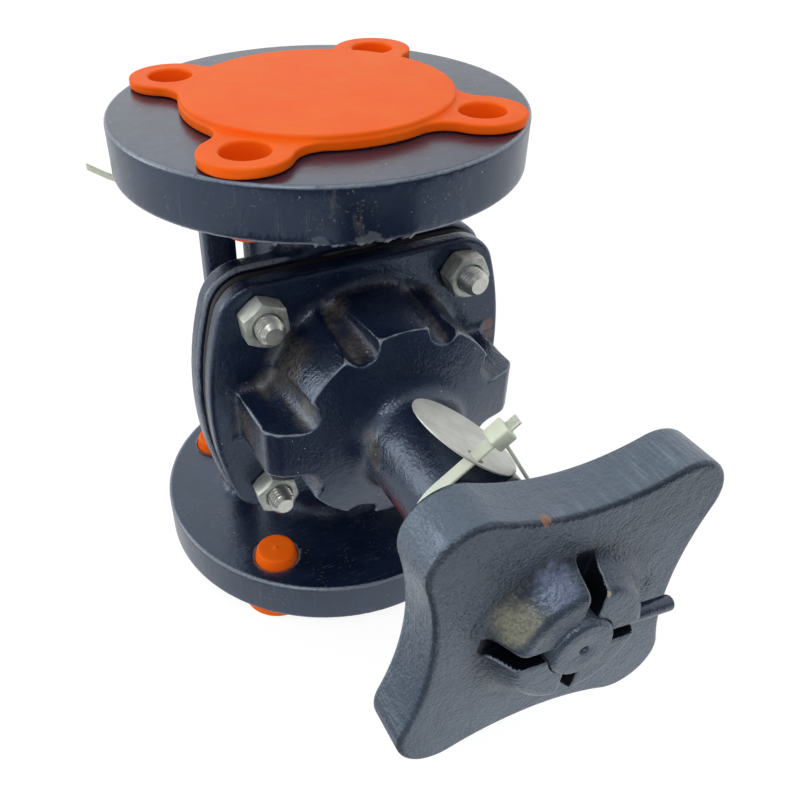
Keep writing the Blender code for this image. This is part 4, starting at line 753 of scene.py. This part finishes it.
def cover_field(x, y, z):
    """A push-in cover with its flange side at height 0, its disc above and its pegs below."""
    radius = hypot(x, y)
    skirt = slab(cover_distance(x, y), between_planes(z, 0, COVER_SKIRT_THICKNESS), 0.0005)
    disc = slab(radius - COVER_DISC_RADIUS + 0.0006, between_planes(z, 0.0010, COVER_DISC_THICKNESS), 0.0008)
    solid = soft_min(skirt, disc, 0.0007)
    place = BOLT_CIRCLE_RADIUS / math.sqrt(2)
    peg = hypot(np.abs(x) - place, np.abs(y) - place)
    taper = (PEG_RADIUS - PEG_TIP_RADIUS) / 0.0045
    wall = peg - PEG_RADIUS + maximum(-FLANGE_THICKNESS - SEAT_GAP - z, 0) * taper
    solid = soft_min(solid, soft_max(wall, between_planes(z, PEG_END, 0.002), 0.0012), 0.0006)
    solid = soft_min(solid, hypot(peg, (z - PEG_END) * 1.6) - 0.0009, 0.0005)
    bore = soft_max(peg - PEG_BORE_RADIUS + maximum(-0.0146 - z, 0) * 0.2, PEG_END + 0.0016 - z, 0.003)
    return soft_max(solid, -bore, 0.0009)


def pocket_depth(points):
    """How deep the bonnet's points lie in the pockets, which are dustier on the left."""
    x, up, out = points[:, 0], points[:, 2] - AXIS_HEIGHT, -points[:, 1]
    inside = np.clip(-dome_field(x, up, out, hypot(x, up)) / 0.0040 - 0.1, 0, 1)
    return inside * np.clip(-x / 0.035, 0.12, 0.75)


def slot_depth(points):
    """1 in the hub's slots, and partly so round the hub's upper left foot; the wheel's paint is darkened
    there as painted shade.
    """
    x, up, out = points[:, 0], points[:, 2] - AXIS_HEIGHT, -points[:, 1]
    radius = hypot(x, up)
    slots = np.clip(1.4 - slot_field(x, up, out, radius) / 0.0003, 0, 1) * (out < HUB_TOP - 0.0005)
    # Painted shade: a dark crescent round the hub's upper left foot.
    foot = np.exp(-((radius - HUB_BASE_RADIUS - 0.0022) / 0.0034) ** 2) * (out > WHEEL_FRONT - 0.0010)
    return maximum(slots, foot * np.clip(0.55 + (up - x) / 0.06, 0, 0.9))


def surface_points(field, low, high, step):
    """Vertices and quads of a field's surface, one vertex in each grid cell that it crosses."""
    axes = [np.arange(a - 2.5 * step, b + 3 * step, step, dtype=np.float32) for a, b in zip(low, high)]
    values = field(*np.meshgrid(*axes, indexing="ij", sparse=True)).astype(np.float32)
    inside = values < 0
    nx, ny, nz = (n - 1 for n in inside.shape)
    count = np.zeros((nx, ny, nz), np.int8)
    for i, j, k in np.ndindex(2, 2, 2):
        count += inside[i:nx + i, j:ny + j, k:nz + k]
    cells = np.argwhere((count > 0) & (count < 8))
    index = np.full(count.shape, -1, np.int32)
    index[tuple(cells.T)] = np.arange(len(cells))
    points = cell_points(values, cells)
    quads = [edge_quads(inside, index, axis) for axis in range(3)]
    origin = np.array([a[0] for a in axes], np.float64)
    return points * step + origin, np.concatenate(quads)


def cell_points(values, cells):
    """The mean of the places where the surface crosses each cell's twelve edges."""
    total = np.zeros((len(cells), 3))
    hits = np.zeros(len(cells))
    for axis, shift_a, shift_b in np.ndindex(3, 2, 2):
        others = [a for a in range(3) if a != axis]
        start = cells.copy()
        start[:, others] += (shift_a, shift_b)
        end = start.copy()
        end[:, axis] += 1
        a, b = values[tuple(start.T)], values[tuple(end.T)]
        hit = (a < 0) != (b < 0)
        place = start.astype(float)
        place[:, axis] += np.where(hit, a / np.where(hit, a - b, 1), 0)
        total += np.where(hit[:, None], place, 0)
        hits += hit
    return total / hits[:, None]


def edge_quads(inside, index, axis):
    """One quad round each grid edge along an axis that the surface crosses."""
    first, second = [a for a in range(3) if a != axis]
    below = np.take(inside, range(inside.shape[axis] - 1), axis)
    above = np.take(inside, range(1, inside.shape[axis]), axis)
    edges = np.argwhere(below != above)
    edges = edges[(edges[:, first] > 0) & (edges[:, second] > 0)]
    edges = edges[(edges[:, first] < index.shape[first]) & (edges[:, second] < index.shape[second])]
    corners = []
    for shift in ((0, 0), (1, 0), (1, 1), (0, 1)):
        cell = edges.copy()
        cell[:, [first, second]] -= shift
        corners.append(index[tuple(cell.T)])
    quads = np.stack(corners, 1)
    outward = below[tuple(edges.T)]
    if axis == 1:
        outward = ~outward
    return np.where(outward[:, None], quads, quads[:, ::-1])


def settle(field, points, step):
    """Move points onto the field's surface along its slope."""
    small = step * 0.05
    for _ in range(3):
        here = field(*points.T)
        slope = [field(*(points + way).T) - field(*(points - way).T) for way in small * np.eye(3)]
        slope = np.stack(slope, 1) / (2 * small)
        size = maximum((slope ** 2).sum(1), 0.25)
        move = -slope * (here / size)[:, None]
        length = np.linalg.norm(move, axis=1, keepdims=True)
        points = points + move * minimum(1, 0.5 * step / maximum(length, 1e-12))
    return points


def thinned(mesh, most):
    """Collapse the flattest triangles until about `most` are left."""
    triangles = sum(len(face.vertices) - 2 for face in mesh.polygons)
    if triangles <= most:
        return mesh
    obj = linked("scratch", mesh)
    modifier = obj.modifiers.new("thin", "DECIMATE")
    modifier.ratio = most / triangles
    result = bpy.data.meshes.new_from_object(obj.evaluated_get(bpy.context.evaluated_depsgraph_get()))
    bpy.data.objects.remove(obj)
    result.shade_smooth()
    return result


def field_mesh(name, field, low, high, step):
    points, quads = surface_points(field, low, high, step)
    points = settle(field, points, step)
    mesh = bpy.data.meshes.new(name)
    mesh.vertices.add(len(points))
    mesh.vertices.foreach_set("co", points.ravel())
    mesh.loops.add(quads.size)
    mesh.loops.foreach_set("vertex_index", quads.ravel())
    mesh.polygons.add(len(quads))
    mesh.polygons.foreach_set("loop_start", np.arange(0, quads.size, 4))
    mesh.update(calc_edges=True)
    mesh.validate()
    mesh.shade_smooth()
    return mesh


def vertex_vectors(mesh, name):
    values = np.empty(len(mesh.vertices) * 3)
    mesh.vertices.foreach_get(name, values)
    return values.reshape(-1, 3)


def mark_curvature(mesh, rounds, reach, depth=None):
    """Store how hollow and how crested the surface is round each vertex, from 0 to 1."""
    count = len(mesh.vertices)
    points, normals = vertex_vectors(mesh, "co"), vertex_vectors(mesh, "normal")
    ends = np.empty(len(mesh.edges) * 2, np.int64)
    mesh.edges.foreach_get("vertices", ends)
    a, b = ends.reshape(-1, 2).T
    degree = maximum(np.bincount(np.concatenate((a, b)), minlength=count), 1)

    def spread(data):
        total = np.zeros_like(data)
        for column in range(data.shape[1]):
            total[:, column] = np.bincount(a, data[b, column], count) + np.bincount(b, data[a, column], count)
        return total / degree[:, None]

    smooth = points
    for _ in range(rounds):
        smooth = spread(smooth)
    height = ((smooth - points) * normals).sum(1) / reach
    deep = np.zeros(count) if depth is None else depth(points)
    for name, value in (("hollow", height), ("crest", -height), ("deep", deep)):
        layer = mesh.attributes.new(name, "FLOAT", "POINT")
        layer.data.foreach_set("value", np.clip(value, 0, 1).astype(np.float32))


# Mesh tools


def linked(name, data):
    """A new object in the scene."""
    obj = bpy.data.objects.new(name, data)
    bpy.context.collection.objects.link(obj)
    return obj


def to_mesh(bm, name="scratch"):
    mesh = bpy.data.meshes.new(name)
    bm.to_mesh(mesh)
    bm.free()
    return mesh


def make_object(name, source, material):
    mesh = to_mesh(source, name) if isinstance(source, bmesh.types.BMesh) else source
    mesh.materials.append(material)
    return linked(name, mesh)


def piece(name, source, material, body, slot, *replaced, matrix=None, smooth_angle=None):
    """A finished piece that rides on a body and stands for its solids."""
    obj = make_object(name, source, material)
    if matrix is not None:
        obj.data.transform(matrix)
    if smooth_angle is not None:
        obj.data.shade_smooth()
        obj.data.set_sharp_from_angle(angle=math.radians(smooth_angle))
    if replaced:
        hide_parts(*replaced)
    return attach(obj, body)


def turned(profile, steps, ring=False):
    """Spin a profile of (radius, height) points about Z."""
    bm = bmesh.new()
    verts = [bm.verts.new((radius, 0, height)) for radius, height in profile]
    edges = [bm.edges.new(pair) for pair in zip(verts, verts[1:])]
    if ring:
        edges.append(bm.edges.new((verts[-1], verts[0])))
    bmesh.ops.spin(bm, geom=verts + edges, cent=(0, 0, 0), axis=(0, 0, 1), angle=math.tau, steps=steps,
                   use_merge=True)
    bmesh.ops.remove_doubles(bm, verts=bm.verts, dist=1e-6)
    return outwards(bm)


def outwards(bm):
    bmesh.ops.recalc_face_normals(bm, faces=bm.faces)
    if bm.calc_volume(signed=True) < 0:
        bmesh.ops.reverse_faces(bm, faces=bm.faces)
    return bm


def stitched(rows, looped=False):
    """A closed skin over rings of points, capped at its ends unless the last ring joins the first."""
    bm = bmesh.new()
    rings = [[bm.verts.new(point) for point in row] for row in rows]
    for a, b in zip(rings, rings[1:] + rings[:1] if looped else rings[1:]):
        for step in range(len(a)):
            after = (step + 1) % len(a)
            bm.faces.new((a[step], a[after], b[after], b[step]))
    if not looped:
        bm.faces.new(rings[0])
        bm.faces.new(rings[-1])
    return outwards(bm)


def prism(outline, low, high):
    bm = bmesh.new()
    base = bm.faces.new([bm.verts.new((x, y, low)) for x, y in outline])
    grown = bmesh.ops.extrude_face_region(bm, geom=[base])["geom"]
    verts = [item for item in grown if isinstance(item, bmesh.types.BMVert)]
    bmesh.ops.translate(bm, verts=verts, vec=(0, 0, high - low))
    return outwards(bm)


def combined(base, tool, operation):
    """Boolean of two closed meshes."""
    objects = [linked("scratch", to_mesh(bm)) for bm in (base, tool)]
    modifier = objects[0].modifiers.new("combine", "BOOLEAN")
    modifier.operation = operation
    modifier.solver = "EXACT"
    modifier.object = objects[1]
    result = bmesh.new()
    result.from_object(objects[0], bpy.context.evaluated_depsgraph_get())
    for obj in objects:
        mesh = obj.data
        bpy.data.objects.remove(obj)
        bpy.data.meshes.remove(mesh)
    return result


def bevelled(bm, width, angle=25, segments=2):
    """Round every edge that is sharper than an angle."""
    bmesh.ops.dissolve_limit(bm, angle_limit=0.001, verts=bm.verts, edges=bm.edges)
    sharp = [e for e in bm.edges if len(e.link_faces) == 2 and e.calc_face_angle(0) > math.radians(angle)]
    bmesh.ops.bevel(bm, geom=sharp, offset=width, segments=segments, profile=0.5, affect="EDGES",
                    clamp_overlap=True)
    return bm


def threaded_rod(radius, root, pitch, low, high, chamfer, around=40, per_pitch=8):
    """A closed rod with a helical thread that runs out into a chamfered end."""
    rings = max(2, round((high - low) / pitch * per_pitch))
    rows = []
    for ring in range(rings + 1):
        z = low + (high - low) * ring / rings
        row = []
        for step in range(around):
            share = ((z - low) / pitch - step / around) % 1
            wave = min(1.0, max(0.0, 1.6 * abs(2 * share - 1) - 0.25))
            reach = root + (radius - root) * (1 - wave)
            reach = min(reach, radius - max(0, z - high + chamfer))
            angle = math.tau * step / around
            row.append((reach * math.cos(angle), reach * math.sin(angle), z))
        rows.append(row)
    return stitched(rows)


def swept_band(path, width, thickness, closed):
    """A flat strap with rounded edges along a path of (x, y) points; its width lies along Z."""
    half, thick = width / 2, thickness / 2
    edge = thick * 0.45
    section = [(-half + edge, -thick), (half - edge, -thick), (half, -thick + edge), (half, thick - edge),
               (half - edge, thick), (-half + edge, thick), (-half, thick - edge), (-half, -thick + edge)]
    count = len(path)
    rows = []
    for index, (x, y) in enumerate(path):
        before = path[index - 1] if closed or index else path[index]
        after = path[(index + 1) % count] if closed or index < count - 1 else path[index]
        along = Vector((after[0] - before[0], after[1] - before[1])).normalized()
        rows.append([(x + along.y * t, y - along.x * t, w) for w, t in section])
    return stitched(rows, closed)


def arc(centre, radius, start, end, count):
    points = []
    for index in range(count + 1):
        angle = start + (end - start) * index / count
        points.append((centre[0] + radius * math.cos(angle), centre[1] + radius * math.sin(angle)))
    return points


def gathered(shapes):
    """Put separate closed shapes into one mesh."""
    total = bmesh.new()
    for shape in shapes:
        mesh = to_mesh(shape)
        total.from_mesh(mesh)
        bpy.data.meshes.remove(mesh)
    return total


def moved(bm, matrix):
    bmesh.ops.transform(bm, matrix=matrix, verts=bm.verts)
    return bm


def rounded_block(size, edge, segments=3):
    bm = bmesh.new()
    bmesh.ops.create_cube(bm, size=1, matrix=Matrix.Diagonal((*size, 1)))
    bmesh.ops.bevel(bm, geom=bm.edges[:], offset=edge, segments=segments, profile=0.5, affect="EDGES")
    return bm


# The castings and the covers


def paint_shaded_slot_faces(mesh, material):
    """Give the faces deep in the slots a darker, duller finish: painted shade."""
    deep = np.empty(len(mesh.vertices), np.float32)
    mesh.attributes["deep"].data.foreach_get("value", deep)
    mesh.materials.append(material)
    for face in mesh.polygons:
        face.material_index = int(min(deep[list(face.vertices)]) > 0.95)


def casting(name, field, low, high, step, marks, *how):
    """A cast piece whose hollows and crests are marked."""
    mesh = field_mesh(name, field, low, high, step)
    mark_curvature(mesh, *marks)
    return piece(name, thinned(mesh, TRIANGLE_LIMIT), *how)


def build_castings(paint, wheel_paint, slot_shade_paint):
    casting("body_casting", body_field, (-FLANGE_RADIUS, -FLANGE_RADIUS, FLANGE_BOTTOM),
            (FLANGE_RADIUS, FLANGE_RADIUS, FLANGE_TOP), BODY_STEP, (12, 0.0008),
            paint, "valve_body", "black_enamel", "valve_body")
    casting("bonnet_casting", bonnet_field, (-PLATE_HALF_WIDTH, -NECK_END, AXIS_HEIGHT - PLATE_HALF_HEIGHT),
            (PLATE_HALF_WIDTH, -BONNET_REAR, AXIS_HEIGHT + PLATE_HALF_HEIGHT), BONNET_STEP,
            (8, 0.0004, pocket_depth), paint, "valve_body", "black_enamel", "bonnet")
    reach = WHEEL_CORNER_REACH
    wheel = casting("handwheel_casting", wheel_field, (-reach, -HUB_TOP, AXIS_HEIGHT - reach),
                    (reach, -WHEEL_REAR, AXIS_HEIGHT + reach), WHEEL_STEP, (14, 0.0006, slot_depth),
                    wheel_paint, "handwheel", "wheel_enamel", "handwheel")
    paint_shaded_slot_faces(wheel.data, slot_shade_paint)


def build_covers(material):
    reach = BOLT_CIRCLE_RADIUS / math.sqrt(2) + COVER_LUG_RADIUS
    mesh = field_mesh("top_cover_shell", cover_field, (-reach, -reach, PEG_END),
                      (reach, reach, COVER_DISC_THICKNESS), COVER_STEP)
    mesh = thinned(mesh, TRIANGLE_LIMIT)
    lower = mesh.copy()
    lower.name = "bottom_cover_shell"
    piece("top_cover_shell", mesh, material, "top_cover", "orange_plastic", "top_cover",
          matrix=Matrix.Translation((0, 0, FLANGE_TOP + SEAT_GAP)))
    turn = Matrix.Translation((0, 0, COVER_DISC_THICKNESS)) @ Matrix.Rotation(math.pi, 4, "X")
    piece("bottom_cover_shell", lower, material, "valve_body", "orange_plastic", "bottom_cover", matrix=turn)


def plate_outline(margin, corner_steps=14, side_steps=16):
    """Points along the bonnet plate's outline, grown by a margin."""
    half_height = PLATE_HALF_HEIGHT + margin
    side_radius = PLATE_SIDE_ARC_RADIUS + margin
    corner = PLATE_CORNER_RADIUS + margin
    side_centre = PLATE_HALF_WIDTH - PLATE_SIDE_ARC_RADIUS
    corner_y = half_height - corner
    corner_x = side_centre + math.sqrt((side_radius - corner) ** 2 - corner_y ** 2)
    meet = math.atan2(corner_y, corner_x - side_centre)
    quarter = arc((side_centre, 0), side_radius, 0, meet, side_steps)[:-1]
    quarter += arc((corner_x, corner_y), corner, meet, math.pi / 2, corner_steps)
    back = list(reversed(quarter))
    upper = quarter + [(-x, y) for x, y in back]
    return upper + [(-x, -y) for x, y in upper[1:-1]]


def build_diaphragm(material):
    """The rubber sheet's bulging edge between the two plates."""
    rows = []
    for share, margin in ((0, -0.0014), (0.12, -0.0008), (0.5, -0.0004), (0.88, -0.0008), (1, -0.0014)):
        height = DIAPHRAGM_REAR + DIAPHRAGM_EDGE_THICKNESS * share
        rows.append([(x, y, height) for x, y in plate_outline(margin)])
    piece("diaphragm_sheet", stitched(rows), material, "valve_body", "black_rubber", "diaphragm",
          matrix=TO_WORLD, smooth_angle=35)


# Bolts, nuts, spindle and pin


def hex_block(width, turn, low, high, both_chamfers):
    """A hexagon with round chamfers across its corners."""
    corner = width / 2 / math.cos(math.pi / 6)
    flat = width / 2 * 0.96
    drop = (corner - flat) * math.tan(math.radians(28)) * 1.15
    under = drop if both_chamfers else 0
    profile = [(0, low), (flat if both_chamfers else corner * 1.02, low), (corner * 1.02, low + under),
               (corner * 1.02, high - drop), (flat, high), (0, high)]
    sides = arc((0, 0), corner, turn, turn + math.tau, 6)[:-1]
    return combined(prism(sides, low, high), turned(profile, 64), "INTERSECT")


def build_fasteners(nut_material, thread_material):
    nut_low = BONNET_FRONT + SEAT_GAP
    nut_high = nut_low + NUT_HEIGHT
    tip = nut_high + BOLT_STICK_OUT
    head_low = BODY_FLANGE_REAR - SEAT_GAP - BOLT_HEAD_HEIGHT
    for number, (x, y) in enumerate(((1, 1), (-1, 1), (-1, -1), (1, -1)), 1):
        place = TO_WORLD @ Matrix.Translation((x * BOLT_HALF_SPACING_X, y * BOLT_HALF_SPACING_Y, 0))
        turn = NUT_TURN_SHARES[number - 1] * math.tau / 6
        nut = hex_block(NUT_WIDTH, turn, nut_low, nut_high, True)
        sink = [(0, nut_low - 0.001), (BOLT_RADIUS + 0.0002, nut_low - 0.001),
                (BOLT_RADIUS + 0.0002, nut_high - 0.0007), (BOLT_RADIUS + 0.0010, nut_high + 0.0001),
                (BOLT_RADIUS + 0.0010, nut_high + 0.001), (0, nut_high + 0.001)]
        nut = bevelled(combined(nut, turned(sink, 48), "DIFFERENCE"), 0.00025)
        piece(f"nut_{number}", nut, nut_material, "valve_body", "zinc_steel", f"bonnet_nut_{number}",
              matrix=place, smooth_angle=32)
        head = bevelled(hex_block(NUT_WIDTH, 0, head_low, head_low + BOLT_HEAD_HEIGHT, True), 0.00025)
        shank = threaded_rod(BOLT_RADIUS, BOLT_RADIUS * 0.84, BOLT_PITCH,
                             head_low + BOLT_HEAD_HEIGHT * 0.9, tip, 0.0017)
        piece(f"bolt_{number}", gathered([head, shank]), thread_material, "valve_body", "zinc_steel",
              f"bonnet_bolt_{number}", matrix=place, smooth_angle=40)


def build_spindle(thread_material, paint, gloss_paint):
    """Threaded shaft with a painted, centre-drilled end."""
    shaft = threaded_rod(SPINDLE_RADIUS, SPINDLE_ROOT_RADIUS, SPINDLE_PITCH, 0.0330, BOSS_REAR + 0.004, 0,
                         around=48, per_pitch=12)
    piece("spindle_shaft", shaft, thread_material, "handwheel", "turned_steel", matrix=TO_WORLD,
          smooth_angle=50)
    profile = [(0, BOSS_REAR), (SPINDLE_RADIUS, BOSS_REAR), (SPINDLE_RADIUS, SPINDLE_TOP - 0.0011),
               (SPINDLE_RADIUS - 0.0002, SPINDLE_TOP - 0.0008),
               (SPINDLE_RADIUS - 0.0009, SPINDLE_TOP - 0.0001),
               (SPINDLE_RADIUS - 0.0012, SPINDLE_TOP), (0.0019, SPINDLE_TOP), (0.0016, SPINDLE_TOP - 0.0002),
               (0.0009, SPINDLE_TOP - 0.0013), (0.0009, SPINDLE_TOP - 0.0025), (0, SPINDLE_TOP - 0.0028)]
    piece("spindle_end", turned(profile, 96), paint, "handwheel", "turned_steel", "spindle",
          matrix=TO_WORLD, smooth_angle=35)
    lay = Matrix.Rotation(HUB_SLOT_ANGLE, 4, "Z") @ Matrix.Rotation(math.pi / 2, 4, "Y")
    edge = 0.0007
    profile = [(0, 0.004), (PIN_RADIUS, 0.004), (PIN_RADIUS, PIN_REACH - edge),
               (PIN_RADIUS - edge * 0.3, PIN_REACH - edge * 0.3), (PIN_RADIUS - edge, PIN_REACH),
               (0, PIN_REACH)]
    piece("cross_pin", turned(profile, 32), gloss_paint, "handwheel", "turned_steel", "drive_pin",
          matrix=TO_WORLD @ Matrix.Translation((0, 0, PIN_PLACE)) @ lay, smooth_angle=35)


# Tag and ties


def tag_frame():
    """At the tag, the directions out of the neck and along the tag's upper side."""
    c, s = math.cos(TAG_LEAN), math.sin(TAG_LEAN)
    return Vector((c, s, 0)), Vector((-s, c, 0))


def tag_matrix():
    out, up_left = tag_frame()
    place = out * (BONNET_NECK_RADIUS + SEAT_GAP) + up_left * TAG_SIDE_SHIFT
    place.z = NECK_START + TAG_ALONG
    return Matrix.Translation(place) @ Matrix((up_left, (0, 0, 1), out)).transposed().to_4x4()


def tie_crossing_side():
    """Where the tie's straight run crosses the tag's plane, along the tag's X."""
    c, s = math.cos(TIE_LEFT_TANGENT), math.sin(TIE_LEFT_TANGENT)
    start = Vector((c, s, 0)) * TIE_MIDDLE_RADIUS
    run = Vector((s, -c, 0))
    out, up_left = tag_frame()
    level = BONNET_NECK_RADIUS + SEAT_GAP + TAG_THICKNESS / 2
    travel = (level - start.dot(out)) / run.dot(out)
    return (start + run * travel).dot(up_left) - TAG_SIDE_SHIFT


def build_tag(material):
    profile = [(0, 0), (TAG_RADIUS - 0.00015, 0), (TAG_RADIUS, 0.00015), (TAG_RADIUS, TAG_THICKNESS - 0.0002),
               (TAG_RADIUS - 0.0002, TAG_THICKNESS), (0, TAG_THICKNESS)]
    half = TAG_SLOT_WIDTH / 2
    ends = TAG_SLOT_LENGTH / 2 - half
    rows = arc((0, ends), half, 0, math.pi, 12) + arc((0, -ends), half, math.pi, math.tau, 12)
    slot = moved(prism(rows, -0.001, TAG_THICKNESS + 0.001),
                 Matrix.Translation((tie_crossing_side(), TAG_SLOT_ALONG, 0)))
    piece("tag_disc", combined(turned(profile, 160), slot, "DIFFERENCE"), material, "identity_tag",
          "tag_steel", "identity_tag", matrix=TO_WORLD @ tag_matrix(), smooth_angle=30)


def tie_path(radius):
    """Teardrop round the neck: an arc and two straight runs that meet at the head."""
    left, right = TIE_LEFT_TANGENT, TIE_RIGHT_TANGENT
    middle = (left + right) / 2
    peak = radius / math.cos((left - right) / 2)
    path = arc((0, 0), radius, left, math.tau + right, 72)
    tip = (peak * math.cos(middle), peak * math.sin(middle))
    last, first = path[-1], path[0]
    out = [tuple(a + (b - a) * share for a, b in zip(last, tip)) for share in (0.25, 0.5, 0.75, 0.94)]
    back = [tuple(a + (b - a) * share for a, b in zip(tip, first)) for share in (0.06, 0.25, 0.5, 0.75)]
    return path + out + back


def build_tag_tie(material):
    band = swept_band(tie_path(TIE_MIDDLE_RADIUS), TIE_WIDTH, TIE_THICKNESS, True)
    middle = (TIE_LEFT_TANGENT + TIE_RIGHT_TANGENT) / 2
    reach = TIE_MIDDLE_RADIUS / math.cos((TIE_LEFT_TANGENT - TIE_RIGHT_TANGENT) / 2)
    length, height, width = TIE_HEAD_SIZE
    head = rounded_block((length, height, width), 0.0008)
    tail_end = length / 2 + TIE_TAIL_LENGTH
    tail = swept_band([(0, 0), (tail_end * 0.5, 0), (tail_end, 0)], TIE_WIDTH * 0.9, TIE_THICKNESS, False)
    teeth = [moved(rounded_block((0.0006, 0.0004, TIE_WIDTH * 0.55), 0.0001, 1),
                   Matrix.Translation((length / 2 + 0.0009 * step, TIE_THICKNESS / 2, 0)))
             for step in range(1, 5)]
    peak = Matrix.Translation((reach * math.cos(middle), reach * math.sin(middle), 0))
    peak = peak @ Matrix.Rotation(TIE_LEFT_TANGENT - math.pi / 2, 4, "Z")
    knob = moved(gathered([head, tail] + teeth), peak)
    lay = Matrix.Translation((0, 0, NECK_START + TIE_ALONG)) @ Matrix.Rotation(-TIE_SKEW, 4, "Y")
    piece("tag_strap", gathered([band, knob]), material, "valve_body", "natural_nylon", "tag_tie",
          matrix=TO_WORLD @ lay, smooth_angle=40)


def build_neck_tie(material):
    inner = NECK_RADIUS + 0.0004
    thick = NECK_TIE_THICKNESS
    ring = arc((0, 0), inner + thick / 2, 0, math.tau, 96)[:-1]
    band = swept_band(ring, NECK_TIE_WIDTH, thick, True)
    place = inner + thick / 2 + NECK_TIE_HEAD / 2 - thick / 2
    head = moved(rounded_block((NECK_TIE_HEAD,) * 3, 0.0007), Matrix.Translation((0, place, 0)))
    path = [(0, 0), (NECK_TIE_KINK * 0.5, 0.0004), (NECK_TIE_KINK, 0.0014),
            (NECK_TIE_KINK - 0.004, 0.0036), (-NECK_TIE_TAIL_REACH, NECK_TIE_TAIL_RISE)]
    half = NECK_TIE_WIDTH * 0.45
    section = ((-thick / 2, -half), (thick / 2, -half), (thick / 2, half), (-thick / 2, half))
    tail = stitched([[(x, place + y, z + h) for y, h in section] for x, z in path])
    tail = bevelled(tail, 0.0002, 40, 1)
    piece("neck_strap", gathered([band, head, tail]), material, "valve_body", "natural_nylon", "neck_tie",
          matrix=Matrix.Translation((0, 0, NECK_TIE_HEIGHT)), smooth_angle=40)


def dress_inner_parts(materials):
    """Give the solids that stay as they are their own finishes."""
    finishes = {"spindle_bushing": "bronze", "thrust_disc": "bronze", "spindle_seal": "rubber",
                "dust_seal": "rubber", "bushing_retaining_nut": "steel", "compressor": "iron",
                "compressor_pin_left": "steel", "compressor_pin_right": "steel", "diaphragm_stud": "steel"}
    for node, finish in finishes.items():
        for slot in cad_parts[node].material_slots:
            slot.material = materials[finish]


def main():
    add_camera()
    add_world()
    add_floor()
    middle = (0, -0.05, 0.1)
    add_lamp("back", (0.0, 1.25, 1.15), middle, (1.7, 1.1), 0.38)
    add_lamp("left", (-1.25, 0.75, 0.55), middle, (0.8, 0.8), 2.5)
    add_lamp("key", (-0.75, -0.70, 1.50), middle, (0.6, 0.6), 4.6)
    materials = inner_finishes()
    paint = enamel("enamel_finish", (0.0040, 0.0080, 0.0260), (0.0090, 0.0165, 0.0400), 0.95, 0.25, 1.4,
                   0.0035, 0.44, 1.0, 0.0, body_marks)
    wheel_paint = enamel("wheel_finish", (0.006, 0.008, 0.013), (0.012, 0.015, 0.022), 0.95, 0.26, 2.6,
                         0.0046, 0.30, 0.12, 0.5, wheel_marks)
    # A darker, less glossy copy of the wheel's paint for the slots' deep faces: painted shade.
    slot_shade_paint = enamel("slot_shade_finish", (0.002, 0.003, 0.006), (0.005, 0.007, 0.011), 0.14, 0.40, 1.0,
                        0.0046, 0.0, 0.0, 0.0, lambda g, color: color)
    build_castings(paint, wheel_paint, slot_shade_paint)
    build_covers(orange_plastic("orange_finish"))
    build_diaphragm(materials["rubber"])
    thread = two_tone("bolt_finish", ((0.46, 0.47, 0.41), (0.82, 0.82, 0.74)), (0.0015, 3.0, 0.6),
                      (0.0008, 2.0), 0.22, 0.22, (0.0006, 2.0), 0.00003, Metallic=0.9)
    build_fasteners(zinc("nut_finish"), thread)
    build_spindle(materials["steel"], wheel_paint, paint)
    build_tag(tag_steel("tag_finish"))
    strap = two_tone("nylon_finish", ((0.74, 0.81, 0.62), (0.86, 0.91, 0.75)), (0.006, 2.0), (0.003, 2.0),
                     0.15, 0.30, (0.0016, 2.0), 0.00004, Subsurface_Weight=0.45,
                     Subsurface_Radius=(0.003, 0.003, 0.0018), Subsurface_Scale=1.0)
    build_tag_tie(strap)
    build_neck_tie(strap)
    dress_inner_parts(materials)
    bpy.context.scene.view_settings.view_transform = "Standard"


main()
